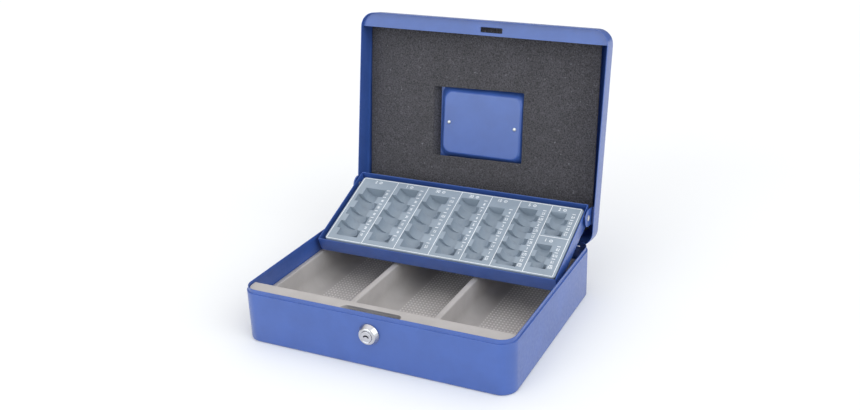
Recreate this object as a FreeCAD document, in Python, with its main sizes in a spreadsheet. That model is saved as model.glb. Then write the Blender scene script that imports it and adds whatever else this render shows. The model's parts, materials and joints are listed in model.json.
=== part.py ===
"""Steel cash box, 300 x 240 x 90 mm closed, standing open with its coin tray raised.

Millimetres. X runs to the right of a person facing the lock, the front faces -Y and Z is up.
The origin is the middle of the base's underside. Pieces of the lid are drawn closed and turned
back about the hinge; pieces of the tray are drawn level about their pivot and tilted.
"""
import FreeCAD
import Part
import Sketcher
import os
import re

SIZES = {
    # outer box and sheet steel
    "box_width": 300.0,
    "box_depth": 240.0,
    "gauge": 0.8,
    "plan_radius": 17.0,
    "rim_top": 60.0,
    "shoulder_top": 55.5,
    "rim_inset": 1.4,
    "foot_radius": 2.4,
    # lid
    "lid_top": 90.0,
    "lid_edge": 56.0,
    "lid_round": 16.0,
    "open_angle": 99.4,
    # hinge along the rear wall
    "hinge_y": 118.5,
    "hinge_z": 54.3,
    "hinge_length": 264.0,
    "knuckle_count": 11.0,
    "knuckle_gap": 0.4,
    "knuckle_radius": 1.8,
    "hinge_pin_radius": 1.0,
    "running_gap": 0.05,
    "leaf_gauge": 1.0,
    "leaf_height": 16.0,
    "leaf_clear": 2.2,
    "rear_wall_top": 52.4,
    "rear_opening": 276.0,
    "rivet_radius": 1.6,
    "rivet_head_radius": 3.0,
    "rivet_head": 0.8,
    "rivet_pitch": 55.0,
    # latch plate inside the lid's front edge
    "latch_level": 60.1,
    "latch_gauge": 1.0,
    "latch_reach": 15.5,
    "latch_leg": 13.0,
    "slot_left": 0.7,
    "slot_right": 27.0,
    "slot_front": -112.8,
    "slot_rear": -107.0,
    # carrying handle and its recess in the lid
    "recess_width": 94.4,
    "recess_length": 70.6,
    "recess_floor": 78.8,
    "recess_centre": 1.4,
    "recess_radius": 10.0,
    "recess_slope": 7.5,
    "handle_half": 34.0,
    "handle_reach": 31.0,
    "handle_rod": 2.5,
    "handle_bend": 7.0,
    "handle_pin_end": 46.2,
    "handle_level": 84.3,
    "saddle_inner": 37.3,
    "saddle_width": 8.0,
    "saddle_depth": 11.0,
    "saddle_top": 88.0,
    # foam pad in the lid
    "foam_left": -145.6,
    "foam_right": 139.2,
    "foam_front": -115.5,
    "foam_rear": 112.0,
    "foam_face": 78.4,
    "foam_radius": 14.0,
    "foam_taper": 12.5,
    "foam_skew": 1.2,
    "window_left": -61.5,
    "window_right": 50.8,
    "window_front": -40.2,
    "window_rear": 41.4,
    "window_clear": 1.2,
    # lock in the front wall
    "lock_z": 38.0,
    "lock_head_radius": 11.5,
    "lock_face_radius": 8.6,
    "lock_head_length": 6.5,
    "barrel_radius": 7.9,
    "barrel_rear": -113.4,
    "plug_radius": 6.0,
    "plug_proud": 0.5,
    "cam_front": -112.1,
    "cam_gauge": 1.7,
    "cam_hub_radius": 6.5,
    "cam_inner": 24.6,
    "cam_outer": 30.8,
    "cam_start": -47.0,
    "cam_sweep": 60.0,
    "cam_square": 5.0,
    "cam_screw_radius": 3.5,
    "cam_screw_head": 1.9,
    "nut_flats": 20.0,
    "nut_length": 2.6,
    # plastic insert in the base
    "insert_gap": 0.5,
    "insert_wall": 1.8,
    "ledge_top": 57.0,
    "ledge_rear": -97.4,
    "divider_top": 38.0,
    "divider_centre": 48.4,
    "divider_width": 7.2,
    "divider_shift": -1.0,
    "side_rim": 5.6,
    "insert_rear": 116.6,
    "insert_floor": 2.9,
    "scoop_radius": 16.0,
    "notch_left": -36.0,
    "notch_right": 30.5,
    "notch_rear": -105.2,
    "notch_foot": 44.0,
    "notch_radius": 6.0,
    # coin tray and its pivots
    "tray_width": 285.6,
    "tray_depth": 115.6,
    "tray_height": 18.9,
    "tray_tilt": 22.0,
    "pivot_y": 84.2,
    "pivot_z": 48.3,
    "pivot_from_rear": 12.0,
    "pivot_from_top": 8.8,
    "tray_seam": 0.7,
    "ear_inner": 144.8,
    "ear_gauge": 1.2,
    "ear_radius": 10.0,
    "ear_jog": 61.4,
    "ear_top": 73.8,
    "pivot_pin_radius": 2.0,
    "pivot_head_radius": 3.6,
    "pivot_head": 0.9,
    "washer_radius": 4.5,
    # coin plate: distances from the tray's rear edge are along the tray
    "plate_left": -135.5,
    "plate_right": 141.0,
    "plate_rear": 8.2,
    "plate_front": 113.6,
    "plate_radius": 4.0,
    "plate_rise": 0.6,
    "plate_lip": 2.2,
    "plate_wall": 3.0,
    "plate_skin": 1.6,
}

# Coin columns, left to right: left edge of the front-most well, its width, how far every second
# well is stepped to the left, first well's distance from the tray's rear, well pitch, number of
# wells, whether the rear-most well is a stepped one, and where the column ends.
COLUMNS = [
    (-124.0, 26.2, 5.0, 25.7, 11.4, 7, False, 105.0),
    (-82.2, 24.4, 4.9, 18.0, 12.5, 7, False, 105.3),
    (-41.9, 24.8, 5.2, 21.4, 12.3, 7, False, 106.6),
    (1.2, 22.6, 4.2, 18.5, 11.2, 8, True, 107.0),
    (37.3, 19.9, 3.8, 26.0, 10.55, 8, True, 107.0),
    (72.6, 22.6, 4.6, 20.0, 9.1, 10, True, 107.0),
    (109.5, 19.3, 4.2, 19.2, 9.3, 4, True, 54.6),
    (110.4, 17.4, 4.0, 69.5, 9.3, 4, True, 103.4),
]

doc = FreeCAD.newDocument("cash_box")
sheet = doc.addObject("Spreadsheet::Sheet", "sizes")
for row, (alias, number) in enumerate(SIZES.items(), start=1):
    sheet.set(f"A{row}", alias)
    sheet.set(f"B{row}", str(number))
    sheet.setAlias(f"B{row}", alias)
doc.recompute()

X_AXIS = FreeCAD.Vector(1, 0, 0)
AXES = {
    "X": FreeCAD.Rotation(FreeCAD.Vector(0, 0, 1), X_AXIS),
    "Y": FreeCAD.Rotation(FreeCAD.Vector(0, 0, 1), FreeCAD.Vector(0, 1, 0)),
    "Z": FreeCAD.Rotation(),
}
PIECES = []


def value(formula):
    """The present number of a formula written with the sheet's aliases."""
    return float(sheet.evalExpression(str(formula)))


def bind(thing, prop, formula):
    """Ties a property to the sheet, or sets it when the formula holds no alias."""
    text = re.sub(r"[a-z_]+", lambda word: f"sizes.{word[0]}" if word[0] in SIZES else word[0], str(formula))
    thing.setExpression(prop, text)


def piece(thing, name, placement=None):
    """Names a finished sub-part and puts it in its place."""
    thing.Label = name
    if placement is not None:
        thing.Placement = placement
    PIECES.append(thing)
    return thing


# ---------------------------------------------------------------- PartDesign helpers


def new_body(name):
    body = doc.addObject("PartDesign::Body", f"{name}_body")
    doc.recompute()
    return body


def sketch_on(body, plane, offset="0"):
    """A sketch parallel to one of the body's own origin planes, offset along that plane's normal."""
    sketch = body.newObject("Sketcher::SketchObject", "outline")
    support = [feature for feature in body.Origin.OriginFeatures if feature.Role == f"{plane}_Plane"][0]
    sketch.AttachmentSupport = (support, "")
    sketch.MapMode = "FlatFace"
    bind(sketch, "AttachmentOffset.Base.z", offset)
    return sketch


def constrain(sketch, formula, kind, *where):
    """One driving dimension of a sketch, bound to the sheet."""
    index = sketch.addConstraint(Sketcher.Constraint(kind, *where, value(formula)))
    name = f"dimension_{index}"
    sketch.renameConstraint(index, name)
    bind(sketch, f"Constraints.{name}", formula)


def add_rectangle(sketch, left, right, low, high):
    """A rectangle whose four sides are dimensioned from the sketch's origin."""
    x0, x1, y0, y1 = (value(side) for side in (left, right, low, high))
    corners = [FreeCAD.Vector(x, y, 0) for x, y in ((x0, y0), (x1, y0), (x1, y1), (x0, y1))]
    first = sketch.GeometryCount
    for index in range(4):
        sketch.addGeometry(Part.LineSegment(corners[index], corners[(index + 1) % 4]), False)
    for index in range(4):
        sketch.addConstraint(Sketcher.Constraint("Coincident", first + index, 2, first + (index + 1) % 4, 1))
        sketch.addConstraint(Sketcher.Constraint("Vertical" if index % 2 else "Horizontal", first + index))
    constrain(sketch, left, "DistanceX", -1, 1, first, 1)
    constrain(sketch, low, "DistanceY", -1, 1, first, 1)
    constrain(sketch, right, "DistanceX", -1, 1, first + 1, 2)
    constrain(sketch, high, "DistanceY", -1, 1, first + 1, 2)


def add_rounded(sketch, left, right, low, high, radius):
    """A rectangle with four equal corner arcs, dimensioned from the sketch's origin."""
    x0, x1, y0, y1, r = (value(size) for size in (left, right, low, high, radius))
    ends = [((x0 + r, y0), (x1 - r, y0)), ((x1, y0 + r), (x1, y1 - r)),
            ((x1 - r, y1), (x0 + r, y1)), ((x0, y1 - r), (x0, y0 + r))]
    centres = [(x1 - r, y0 + r), (x1 - r, y1 - r), (x0 + r, y1 - r), (x0 + r, y0 + r)]
    first = sketch.GeometryCount
    up = FreeCAD.Vector(0, 0, 1)
    quarter = 3.14159265 / 2
    for index in range(4):
        start, end = ends[index]
        sketch.addGeometry(Part.LineSegment(FreeCAD.Vector(*start, 0), FreeCAD.Vector(*end, 0)), False)
        circle = Part.Circle(FreeCAD.Vector(*centres[index], 0), up, r)
        sketch.addGeometry(Part.ArcOfCircle(circle, (index - 1) * quarter, index * quarter), False)
    for index in range(4):
        line = first + 2 * index
        following = first + (2 * index + 2) % 8
        sketch.addConstraint(Sketcher.Constraint("Tangent", line, 2, line + 1, 1))
        sketch.addConstraint(Sketcher.Constraint("Tangent", line + 1, 2, following, 1))
        sketch.addConstraint(Sketcher.Constraint("Vertical" if index % 2 else "Horizontal", line))
        if index:
            sketch.addConstraint(Sketcher.Constraint("Equal", first + 1, line + 1))
    constrain(sketch, low, "DistanceY", -1, 1, first, 1)
    constrain(sketch, right, "DistanceX", -1, 1, first + 2, 1)
    constrain(sketch, high, "DistanceY", -1, 1, first + 4, 1)
    constrain(sketch, left, "DistanceX", -1, 1, first + 6, 1)
    constrain(sketch, radius, "Radius", first + 1)


def add_circle(sketch, x, y, radius):
    """A circle dimensioned from the sketch's origin."""
    middle = FreeCAD.Vector(value(x), value(y), 0)
    index = sketch.addGeometry(Part.Circle(middle, FreeCAD.Vector(0, 0, 1), value(radius)), False)
    constrain(sketch, x, "DistanceX", -1, 1, index, 3)
    constrain(sketch, y, "DistanceY", -1, 1, index, 3)
    constrain(sketch, radius, "Radius", index)


def pad(body, sketch, length, reverse=False):
    feature = body.newObject("PartDesign::Pad", "pad")
    feature.Profile = sketch
    feature.Reversed = reverse
    bind(feature, "Length", length)
    doc.recompute()
    return feature


def pocket(body, sketch, length, reverse=False):
    """Cuts against the sketch's normal, or along it when reversed, and makes sure that it cut."""
    before = body.Shape.Volume
    feature = body.newObject("PartDesign::Pocket", "pocket")
    feature.Profile = sketch
    feature.Reversed = reverse
    bind(feature, "Length", length)
    doc.recompute()
    if body.Shape.Volume > before - 1e-3:
        raise RuntimeError(f"{body.Name}: a pocket cut nothing")
    return feature


def dress(body, kind, size, chosen):
    """Fillet or Chamfer on the edges of the body's tip for which chosen(edge) is true."""
    base = body.Tip
    names = [f"Edge{i}" for i, edge in enumerate(base.Shape.Edges, start=1) if chosen(edge)]
    feature = body.newObject(f"PartDesign::{kind}", kind.lower())
    feature.Base = (base, names)
    bind(feature, "Radius" if kind == "Fillet" else "Size", size)
    doc.recompute()
    if "Invalid" in feature.State:
        raise RuntimeError(f"{body.Name}: {kind} on {len(names)} edges failed")
    return feature


def at_level(level):
    """True for edges that lie wholly at one height."""
    def chosen(edge):
        box = edge.BoundBox
        return abs(box.ZMin - value(level)) < 1e-4 and abs(box.ZMax - value(level)) < 1e-4
    return chosen


# ---------------------------------------------------------------- Part helpers


def place(thing, at, rotation):
    thing.Placement = FreeCAD.Placement(FreeCAD.Vector(), rotation)
    for axis, formula in zip("xyz", at):
        bind(thing, f"Placement.Base.{axis}", formula)


def box(x0, x1, y0, y1, z0, z1):
    thing = doc.addObject("Part::Box", "block")
    for prop, low, high in (("Length", x0, x1), ("Width", y0, y1), ("Height", z0, z1)):
        bind(thing, prop, f"({high}) - ({low})")
    place(thing, (x0, y0, z0), AXES["Z"])
    return thing


def cylinder(radius, length, at, axis="Z"):
    """A cylinder that starts at a point and runs along a positive axis."""
    thing = doc.addObject("Part::Cylinder", "rod")
    bind(thing, "Radius", radius)
    bind(thing, "Height", length)
    place(thing, at, AXES[axis])
    return thing


def cone(radius_start, radius_end, length, at, axis):
    thing = doc.addObject("Part::Cone", "cone")
    bind(thing, "Radius1", radius_start)
    bind(thing, "Radius2", radius_end)
    bind(thing, "Height", length)
    place(thing, at, AXES[axis])
    return thing


def fuse(*things):
    result = doc.addObject("Part::MultiFuse", "joined")
    result.Shapes = list(things)
    doc.recompute()
    return result


def cut(base, *tools):
    result = doc.addObject("Part::Cut", "cut")
    result.Base = base
    result.Tool = tools[0] if len(tools) == 1 else fuse(*tools)
    doc.recompute()
    return result


def group(*things):
    """Several separate solids that belong to one node."""
    result = doc.addObject("Part::Compound", "group")
    result.Links = list(things)
    doc.recompute()
    return result


# ---------------------------------------------------------------- places of the moving pieces

HINGE = FreeCAD.Vector(0, value("hinge_y"), value("hinge_z"))
OPEN = FreeCAD.Placement(FreeCAD.Vector(), FreeCAD.Rotation(X_AXIS, -value("open_angle")), HINGE)
PIVOT = OPEN.multVec(FreeCAD.Vector(0, value("pivot_y"), value("pivot_z")))
TILTED = FreeCAD.Placement(PIVOT, FreeCAD.Rotation(X_AXIS, value("tray_tilt")))
HANDLE_AXIS = FreeCAD.Vector(0, value("recess_centre"), value("handle_level"))
HANGING = OPEN.multiply(
    FreeCAD.Placement(FreeCAD.Vector(), FreeCAD.Rotation(X_AXIS, value("open_angle - 90")), HANDLE_AXIS))
RIVET_PLACES = range(-2, 3)


def shell_outline(sketch, inset):
    """The box's plan outline, moved inwards by a formula."""
    half_x = f"box_width / 2 - ({inset})"
    half_y = f"box_depth / 2 - ({inset})"
    add_rounded(sketch, f"-({half_x})", half_x, f"-({half_y})", half_y, f"plan_radius - ({inset})")


# ---------------------------------------------------------------- base


def base_shell():
    """Drawn steel pan with a joggled rim, lower along the hinge, and a round hole for the lock."""
    body = new_body("base_shell")
    outline = sketch_on(body, "XY")
    shell_outline(outline, "0")
    pad(body, outline, "shoulder_top")
    inside = sketch_on(body, "XY", "shoulder_top")
    shell_outline(inside, "gauge")
    pocket(body, inside, "shoulder_top - gauge")
    dress(body, "Fillet", "foot_radius - gauge", at_level("gauge"))
    dress(body, "Fillet", "foot_radius", at_level("0"))
    shoulder = sketch_on(body, "XY", "shoulder_top")
    shell_outline(shoulder, "gauge / 2")
    shell_outline(shoulder, "rim_inset + gauge")
    pad(body, shoulder, "gauge", reverse=True)
    rim = sketch_on(body, "XY", "shoulder_top")
    shell_outline(rim, "rim_inset")
    shell_outline(rim, "rim_inset + gauge")
    pad(body, rim, "rim_top - shoulder_top")
    rear = sketch_on(body, "XY", "rim_top")
    add_rectangle(rear, "-rear_opening / 2", "rear_opening / 2", "box_depth / 2 - 5", "box_depth / 2 + 1")
    pocket(body, rear, "rim_top - rear_wall_top")
    front = sketch_on(body, "XZ", "box_depth / 2 - 3")
    add_circle(front, "0", "lock_z", "barrel_radius + 0.2")
    pocket(body, front, "5", reverse=True)
    holes = sketch_on(body, "XZ", "-box_depth / 2 - 1")
    for place_x in RIVET_PLACES:
        add_circle(holes, f"{place_x} * rivet_pitch", "hinge_z - leaf_height / 2 - 3", "rivet_radius")
    pocket(body, holes, "4", reverse=True)
    piece(body, "base_shell")


def knuckle(index, x_start):
    pitch = "hinge_length / knuckle_count"
    start = f"({x_start}) + {index} * {pitch} + knuckle_gap / 2"
    length = f"{pitch} - knuckle_gap"
    return start, length


def hinge_leaf(name, parity, low, high, placement=None):
    """Half of the continuous hinge: a flat leaf inside the rear wall, and every second knuckle."""
    x_start = "-hinge_length / 2"
    front = "box_depth / 2 - gauge - leaf_gauge"
    rear = "box_depth / 2 - gauge"
    parts = [box("-hinge_length / 2 + 1", "hinge_length / 2 - 1", front, rear, low, high)]
    near = low if parity else high
    for index in range(parity, int(value("knuckle_count")), 2):
        start, length = knuckle(index, x_start)
        parts.append(cylinder("knuckle_radius", length, (start, "hinge_y", "hinge_z"), "X"))
        ends = ("hinge_z", near) if parity else (near, "hinge_z")
        parts.append(box(start, f"{start} + {length}", front, rear, *ends))
    bore = cylinder("hinge_pin_radius + running_gap", "hinge_length + 2",
                    ("-hinge_length / 2 - 1", "hinge_y", "hinge_z"), "X")
    middle = f"(({low}) + ({high})) / 2" if parity else "hinge_z - leaf_height / 2 - 3"
    holes = [cylinder("rivet_radius", "4", (f"{i} * rivet_pitch", f"{front} - 1", middle), "Y")
             for i in RIVET_PLACES]
    piece(cut(fuse(*parts), bore, *holes), name, placement)
    return middle


def hinge_rivets(name, level, placement=None):
    """Five rivets through the rear wall and a hinge leaf, headed on both sides."""
    rivets = []
    inner = "box_depth / 2 - gauge - leaf_gauge"
    for index in RIVET_PLACES:
        x = f"{index} * rivet_pitch"
        shank = cylinder("rivet_radius", "gauge + leaf_gauge", (x, inner, level), "Y")
        outside = cylinder("rivet_head_radius", "rivet_head", (x, "box_depth / 2", level), "Y")
        inside = cylinder("rivet_head_radius", "rivet_head", (x, f"{inner} - rivet_head", level), "Y")
        rivets.append(fuse(shank, outside, inside))
    piece(group(*rivets), name, placement)


def hinge():
    level = hinge_leaf("hinge_leaf_base", 0, "hinge_z - leaf_clear - leaf_height", "hinge_z - leaf_clear")
    hinge_rivets("hinge_rivets_base", level)
    level = hinge_leaf("hinge_leaf_lid", 1, "hinge_z + leaf_clear", "hinge_z + leaf_clear + leaf_height",
                       OPEN)
    hinge_rivets("hinge_rivets_lid", level, OPEN)
    pin = cylinder("hinge_pin_radius", "hinge_length", ("-hinge_length / 2", "hinge_y", "hinge_z"), "X")
    piece(pin, "hinge_pin")


def compartment_insert():
    """Plastic moulding: three open compartments, a high front ledge and a notch over the lock."""
    body = new_body("compartment_insert")
    outer = "box_width / 2 - gauge - insert_gap"
    front = "ledge_rear - insert_wall"
    block = sketch_on(body, "XY", "gauge + 0.1")
    add_rectangle(block, f"-({outer})", outer, front, "box_depth / 2 - 25")
    pad(body, block, "divider_top - gauge - 0.1")
    tail = sketch_on(body, "XY", "gauge + 0.1")
    add_rounded(tail, f"-({outer})", outer, "box_depth / 2 - 60", "insert_rear",
                "plan_radius - gauge - insert_gap")
    pad(body, tail, "divider_top - gauge - 0.1")
    dress(body, "Fillet", "foot_radius - gauge", at_level("gauge + 0.1"))
    wall = sketch_on(body, "XY", "divider_top")
    add_rectangle(wall, "-(box_width / 2 - rim_inset - gauge - insert_gap)",
                  "box_width / 2 - rim_inset - gauge - insert_gap", front, "ledge_rear")
    pad(body, wall, "ledge_top - divider_top")
    ledge = sketch_on(body, "XY", "ledge_top - insert_wall")
    inset = "(rim_inset + gauge + insert_gap)"
    half = f"box_width / 2 - {inset}"
    add_rounded(ledge, f"-({half})", half, f"-(box_depth / 2 - {inset})", "0", f"plan_radius - {inset}")
    pad(body, ledge, "insert_wall")
    spare = sketch_on(body, "XY", "ledge_top + 1")
    add_rectangle(spare, f"-({half} + 1)", f"{half} + 1", "ledge_rear", "1")
    pocket(body, spare, "insert_wall + 1")
    notch = sketch_on(body, "XY", "ledge_top + 1")
    add_rounded(notch, "notch_left", "notch_right", "-box_depth / 2 - 9", "notch_rear", "notch_radius")
    pocket(body, notch, "insert_wall + 1")
    skirt = sketch_on(body, "XY", "notch_foot")
    add_rectangle(skirt, "notch_left", "notch_right", "notch_rear", "notch_rear + insert_wall")
    pad(body, skirt, "ledge_top - notch_foot")
    left_middle = "(divider_shift - divider_centre)"
    right_middle = "(divider_shift + divider_centre)"
    bays = ((f"-({outer}) + side_rim", f"{left_middle} - divider_width / 2"),
            (f"{left_middle} + divider_width / 2", f"{right_middle} - divider_width / 2"),
            (f"{right_middle} + divider_width / 2", f"({outer}) - side_rim"))
    for left, right in bays:
        bay = sketch_on(body, "XY", "divider_top + 1")
        add_rectangle(bay, left, right, "ledge_rear", "insert_rear - insert_wall - 5")
        pocket(body, bay, "divider_top + 1 - insert_floor")
    lefts = [value(left) for left, right in bays]

    def scooped(edge):
        level = at_level("insert_floor")(edge)
        return level and any(abs(edge.BoundBox.XMax - x) < 1e-3 and edge.Length > 100 for x in lefts)

    dress(body, "Fillet", "scoop_radius", scooped)
    slots = sketch_on(body, "XY", "gauge + 0.1")
    for side, middle in (("-1", left_middle), ("1", right_middle)):
        inside = "(divider_width / 2 - insert_wall)"
        add_rectangle(slots, f"{middle} - {inside}", f"{middle} + {inside}", "ledge_rear + 6", "insert_rear - 8")
        edge = f"{side} * (({outer}) - side_rim / 2)"
        add_rectangle(slots, f"{edge} - side_rim / 2 + insert_wall", f"{edge} + side_rim / 2 - insert_wall",
                      "ledge_rear + 6", "insert_rear - 20")
    pocket(body, slots, "divider_top - gauge - 0.1 - insert_wall", reverse=True)
    piece(body, "compartment_insert")


# ---------------------------------------------------------------- lock


def lock():
    """Round cam lock: housing with a conical head, nut, plug with its keyway, hooked cam and screw."""
    front = "-box_depth / 2"
    face = f"{front} - lock_head_length"
    head = cone("lock_face_radius", "lock_head_radius", "lock_head_length", ("0", face, "lock_z"), "Y")
    barrel = cylinder("barrel_radius", f"barrel_rear - ({front})", ("0", front, "lock_z"), "Y")
    bore = cylinder("plug_radius + running_gap", f"barrel_rear - ({face}) + 2", ("0", f"{face} - 1", "lock_z"),
                    "Y")
    piece(cut(fuse(head, barrel), bore), "lock_housing")

    inner = "gauge - box_depth / 2"
    nut = doc.addObject("Part::Prism", "nut")
    nut.Polygon = 6
    bind(nut, "Circumradius", "nut_flats / sqrt(3)")
    bind(nut, "Height", "nut_length")
    place(nut, ("0", inner, "lock_z"), AXES["Y"])
    hole = cylinder("barrel_radius + 0.02", "nut_length + 2", ("0", f"{inner} - 1", "lock_z"), "Y")
    piece(cut(nut, hole), "lock_nut")

    plug_start = ("0", f"{face} - plug_proud", "lock_z")
    plug = cylinder("plug_radius", f"cam_front - ({face}) + plug_proud", plug_start, "Y")
    half = "cam_square / 2"
    square = box(f"-{half}", half, "cam_front", "cam_front + cam_gauge",
                 f"lock_z - {half}", f"lock_z + {half}")
    keyway = cut(cylinder("3.6", "11", ("0", f"{face} - 1.5", "lock_z - 1.6"), "Y"),
                 cylinder("2.1", "13", ("0", f"{face} - 2.5", "lock_z - 1.6"), "Y"),
                 box("-5", "5", f"{face} - 2.5", f"{face} + 12", "lock_z - 8", "lock_z - 1.4"))
    tapped = cylinder("1.5", "8", ("0", "cam_front + cam_gauge - 7", "lock_z"), "Y")
    piece(cut(fuse(plug, square), keyway, tapped), "lock_plug")

    hub = cylinder("cam_hub_radius", "cam_gauge", ("0", "cam_front", "lock_z"), "Y")
    ring = cylinder("cam_outer", "cam_gauge", ("0", "cam_front", "lock_z"), "Y")
    bind(ring, "Angle", "cam_sweep")
    hook = cut(ring, cylinder("cam_inner", "cam_gauge + 2", ("0", "cam_front - 1", "lock_z"), "Y"))
    arm = box("0", "cam_outer - 1", "0", "cam_gauge", "0", "7")
    turned = FreeCAD.Rotation(FreeCAD.Vector(0, 1, 0), -value("cam_start"))
    place(arm, ("0", "cam_front", "lock_z"), turned)
    ring.Placement = FreeCAD.Placement(ring.Placement.Base, turned.multiply(AXES["Y"]).multiply(
        FreeCAD.Rotation(FreeCAD.Vector(0, 0, 1), -value("cam_sweep"))))
    slack = "0.02"
    window = box(f"-{half} - {slack}", f"{half} + {slack}", "cam_front - 1", "cam_front + cam_gauge + 1",
                 f"lock_z - {half} - {slack}", f"lock_z + {half} + {slack}")
    piece(cut(fuse(hub, arm, hook), window), "lock_cam")

    rear = "cam_front + cam_gauge"
    screw = fuse(cylinder("cam_screw_radius", "cam_screw_head", ("0", rear, "lock_z"), "Y"),
                 cylinder("1.48", "6", ("0", f"{rear} - 6", "lock_z"), "Y"))
    cross = "0.5"
    slot = box("-3", "3", f"{rear} + cam_screw_head - 0.9", f"{rear} + cam_screw_head + 1",
               f"lock_z - {cross}", f"lock_z + {cross}")
    piece(cut(screw, slot), "cam_screw")


# ---------------------------------------------------------------- lid


def lid_shell():
    """Drawn steel lid with rounded upper edges and the sunk recess that holds the handle."""
    body = new_body("lid_shell")
    outline = sketch_on(body, "XY", "lid_edge")
    shell_outline(outline, "0")
    pad(body, outline, "lid_top - lid_edge")
    inside = sketch_on(body, "XY", "lid_edge")
    shell_outline(inside, "gauge")
    pocket(body, inside, "lid_top - gauge - lid_edge", reverse=True)
    dress(body, "Fillet", "lid_round - gauge", at_level("lid_top - gauge"))
    dress(body, "Fillet", "lid_round", at_level("lid_top"))

    def loft(kind, grow, low, high):
        """A tapered block between the recess floor's size and the opening's size."""
        body_sketches = []
        for level, slope in ((low, "0"), (high, "recess_slope")):
            sketch = sketch_on(body, "XY", level)
            half_x = f"recess_width / 2 + {slope} + {grow}"
            half_y = f"(recess_length / 2 + {slope} + {grow})"
            add_rounded(sketch, f"-({half_x})", half_x, f"recess_centre - {half_y}",
                        f"recess_centre + {half_y}", f"recess_radius + {slope} + {grow}")
            body_sketches.append(sketch)
        feature = body.newObject(f"PartDesign::{kind}Loft", "recess")
        feature.Profile = body_sketches[0]
        feature.Sections = [body_sketches[1]]
        doc.recompute()

    loft("Additive", "gauge", "recess_floor - gauge", "lid_top - gauge / 2")
    loft("Subtractive", "0", "recess_floor", "lid_top + 0.01")
    holes = sketch_on(body, "XY", "recess_floor + 1")
    for side in ("-1", "1"):
        add_circle(holes, f"{side} * (saddle_inner + saddle_width / 2)", "recess_centre", "rivet_radius")
    pocket(body, holes, "gauge + 2")
    rivets = sketch_on(body, "XZ", "-box_depth / 2 - 1")
    for index in RIVET_PLACES:
        add_circle(rivets, f"{index} * rivet_pitch", "hinge_z + leaf_clear + leaf_height / 2", "rivet_radius")
    pocket(body, rivets, "4", reverse=True)
    piece(body, "lid_shell", OPEN)


def latch_plate():
    """Angle strip inside the lid's front edge, slotted for the lock's hook."""
    body = new_body("latch_plate")
    flat = sketch_on(body, "XY", "latch_level")
    inset = "(gauge + 0.05)"
    half = f"box_width / 2 - {inset}"
    add_rounded(flat, f"-({half})", half, f"-(box_depth / 2 - {inset})", "0", f"plan_radius - {inset}")
    pad(body, flat, "latch_gauge")
    spare = sketch_on(body, "XY", "latch_level + latch_gauge")
    add_rectangle(spare, "-box_width", "box_width", "latch_reach - box_depth / 2 + gauge", "1")
    pocket(body, spare, "latch_gauge")
    slot = sketch_on(body, "XY", "latch_level + latch_gauge")
    add_rectangle(slot, "slot_left", "slot_right", "slot_front", "slot_rear")
    pocket(body, slot, "latch_gauge")
    leg = sketch_on(body, "XY", "latch_level")
    reach = "box_width / 2 - plan_radius - 1"
    add_rectangle(leg, f"-({reach})", reach, f"-(box_depth / 2 - {inset})",
                  f"latch_gauge - (box_depth / 2 - {inset})")
    pad(body, leg, "latch_leg")
    piece(body, "latch_plate", OPEN)


def foam_pad():
    """Foam sheet that fills the lid, glued in slightly askew and cut out around the handle recess."""
    body = new_body("foam_pad")

    def loft(kind, face_sides, back_sides, radius):
        """A block between an outline at the foam's face and one at its glued back."""
        outlines = []
        for level, sides in (("foam_face", face_sides), ("lid_top - gauge - 0.05", back_sides)):
            outline = sketch_on(body, "XY", level)
            if radius:
                add_rounded(outline, *sides, radius)
            else:
                add_rectangle(outline, *sides)
            outlines.append(outline)
        feature = body.newObject(f"PartDesign::{kind}Loft", "sheet")
        feature.Profile = outlines[0]
        feature.Sections = [outlines[1]]
        doc.recompute()

    def grown(sides, amount):
        signs = ("-", "+", "-", "+")
        return [f"({side}) {sign} {amount}" for side, sign in zip(sides, signs)]

    edges = ("foam_left", "foam_right", "foam_front", "foam_rear")
    loft("Additive", edges, grown(edges, "(0 - foam_taper)"), "foam_radius")
    reach_x = "recess_width / 2 + recess_slope + gauge"
    reach_y = "recess_length / 2 + recess_slope + gauge"
    bump = (f"-({reach_x})", reach_x, f"recess_centre - ({reach_y})", f"recess_centre + {reach_y}")
    window = ("window_left", "window_right", "window_front", "window_rear")
    loft("Subtractive", window, grown(bump, "window_clear"), None)
    skew = FreeCAD.Placement(FreeCAD.Vector(), FreeCAD.Rotation(FreeCAD.Vector(0, 0, 1), -value("foam_skew")))
    piece(body, "foam_pad", OPEN.multiply(skew))


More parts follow.
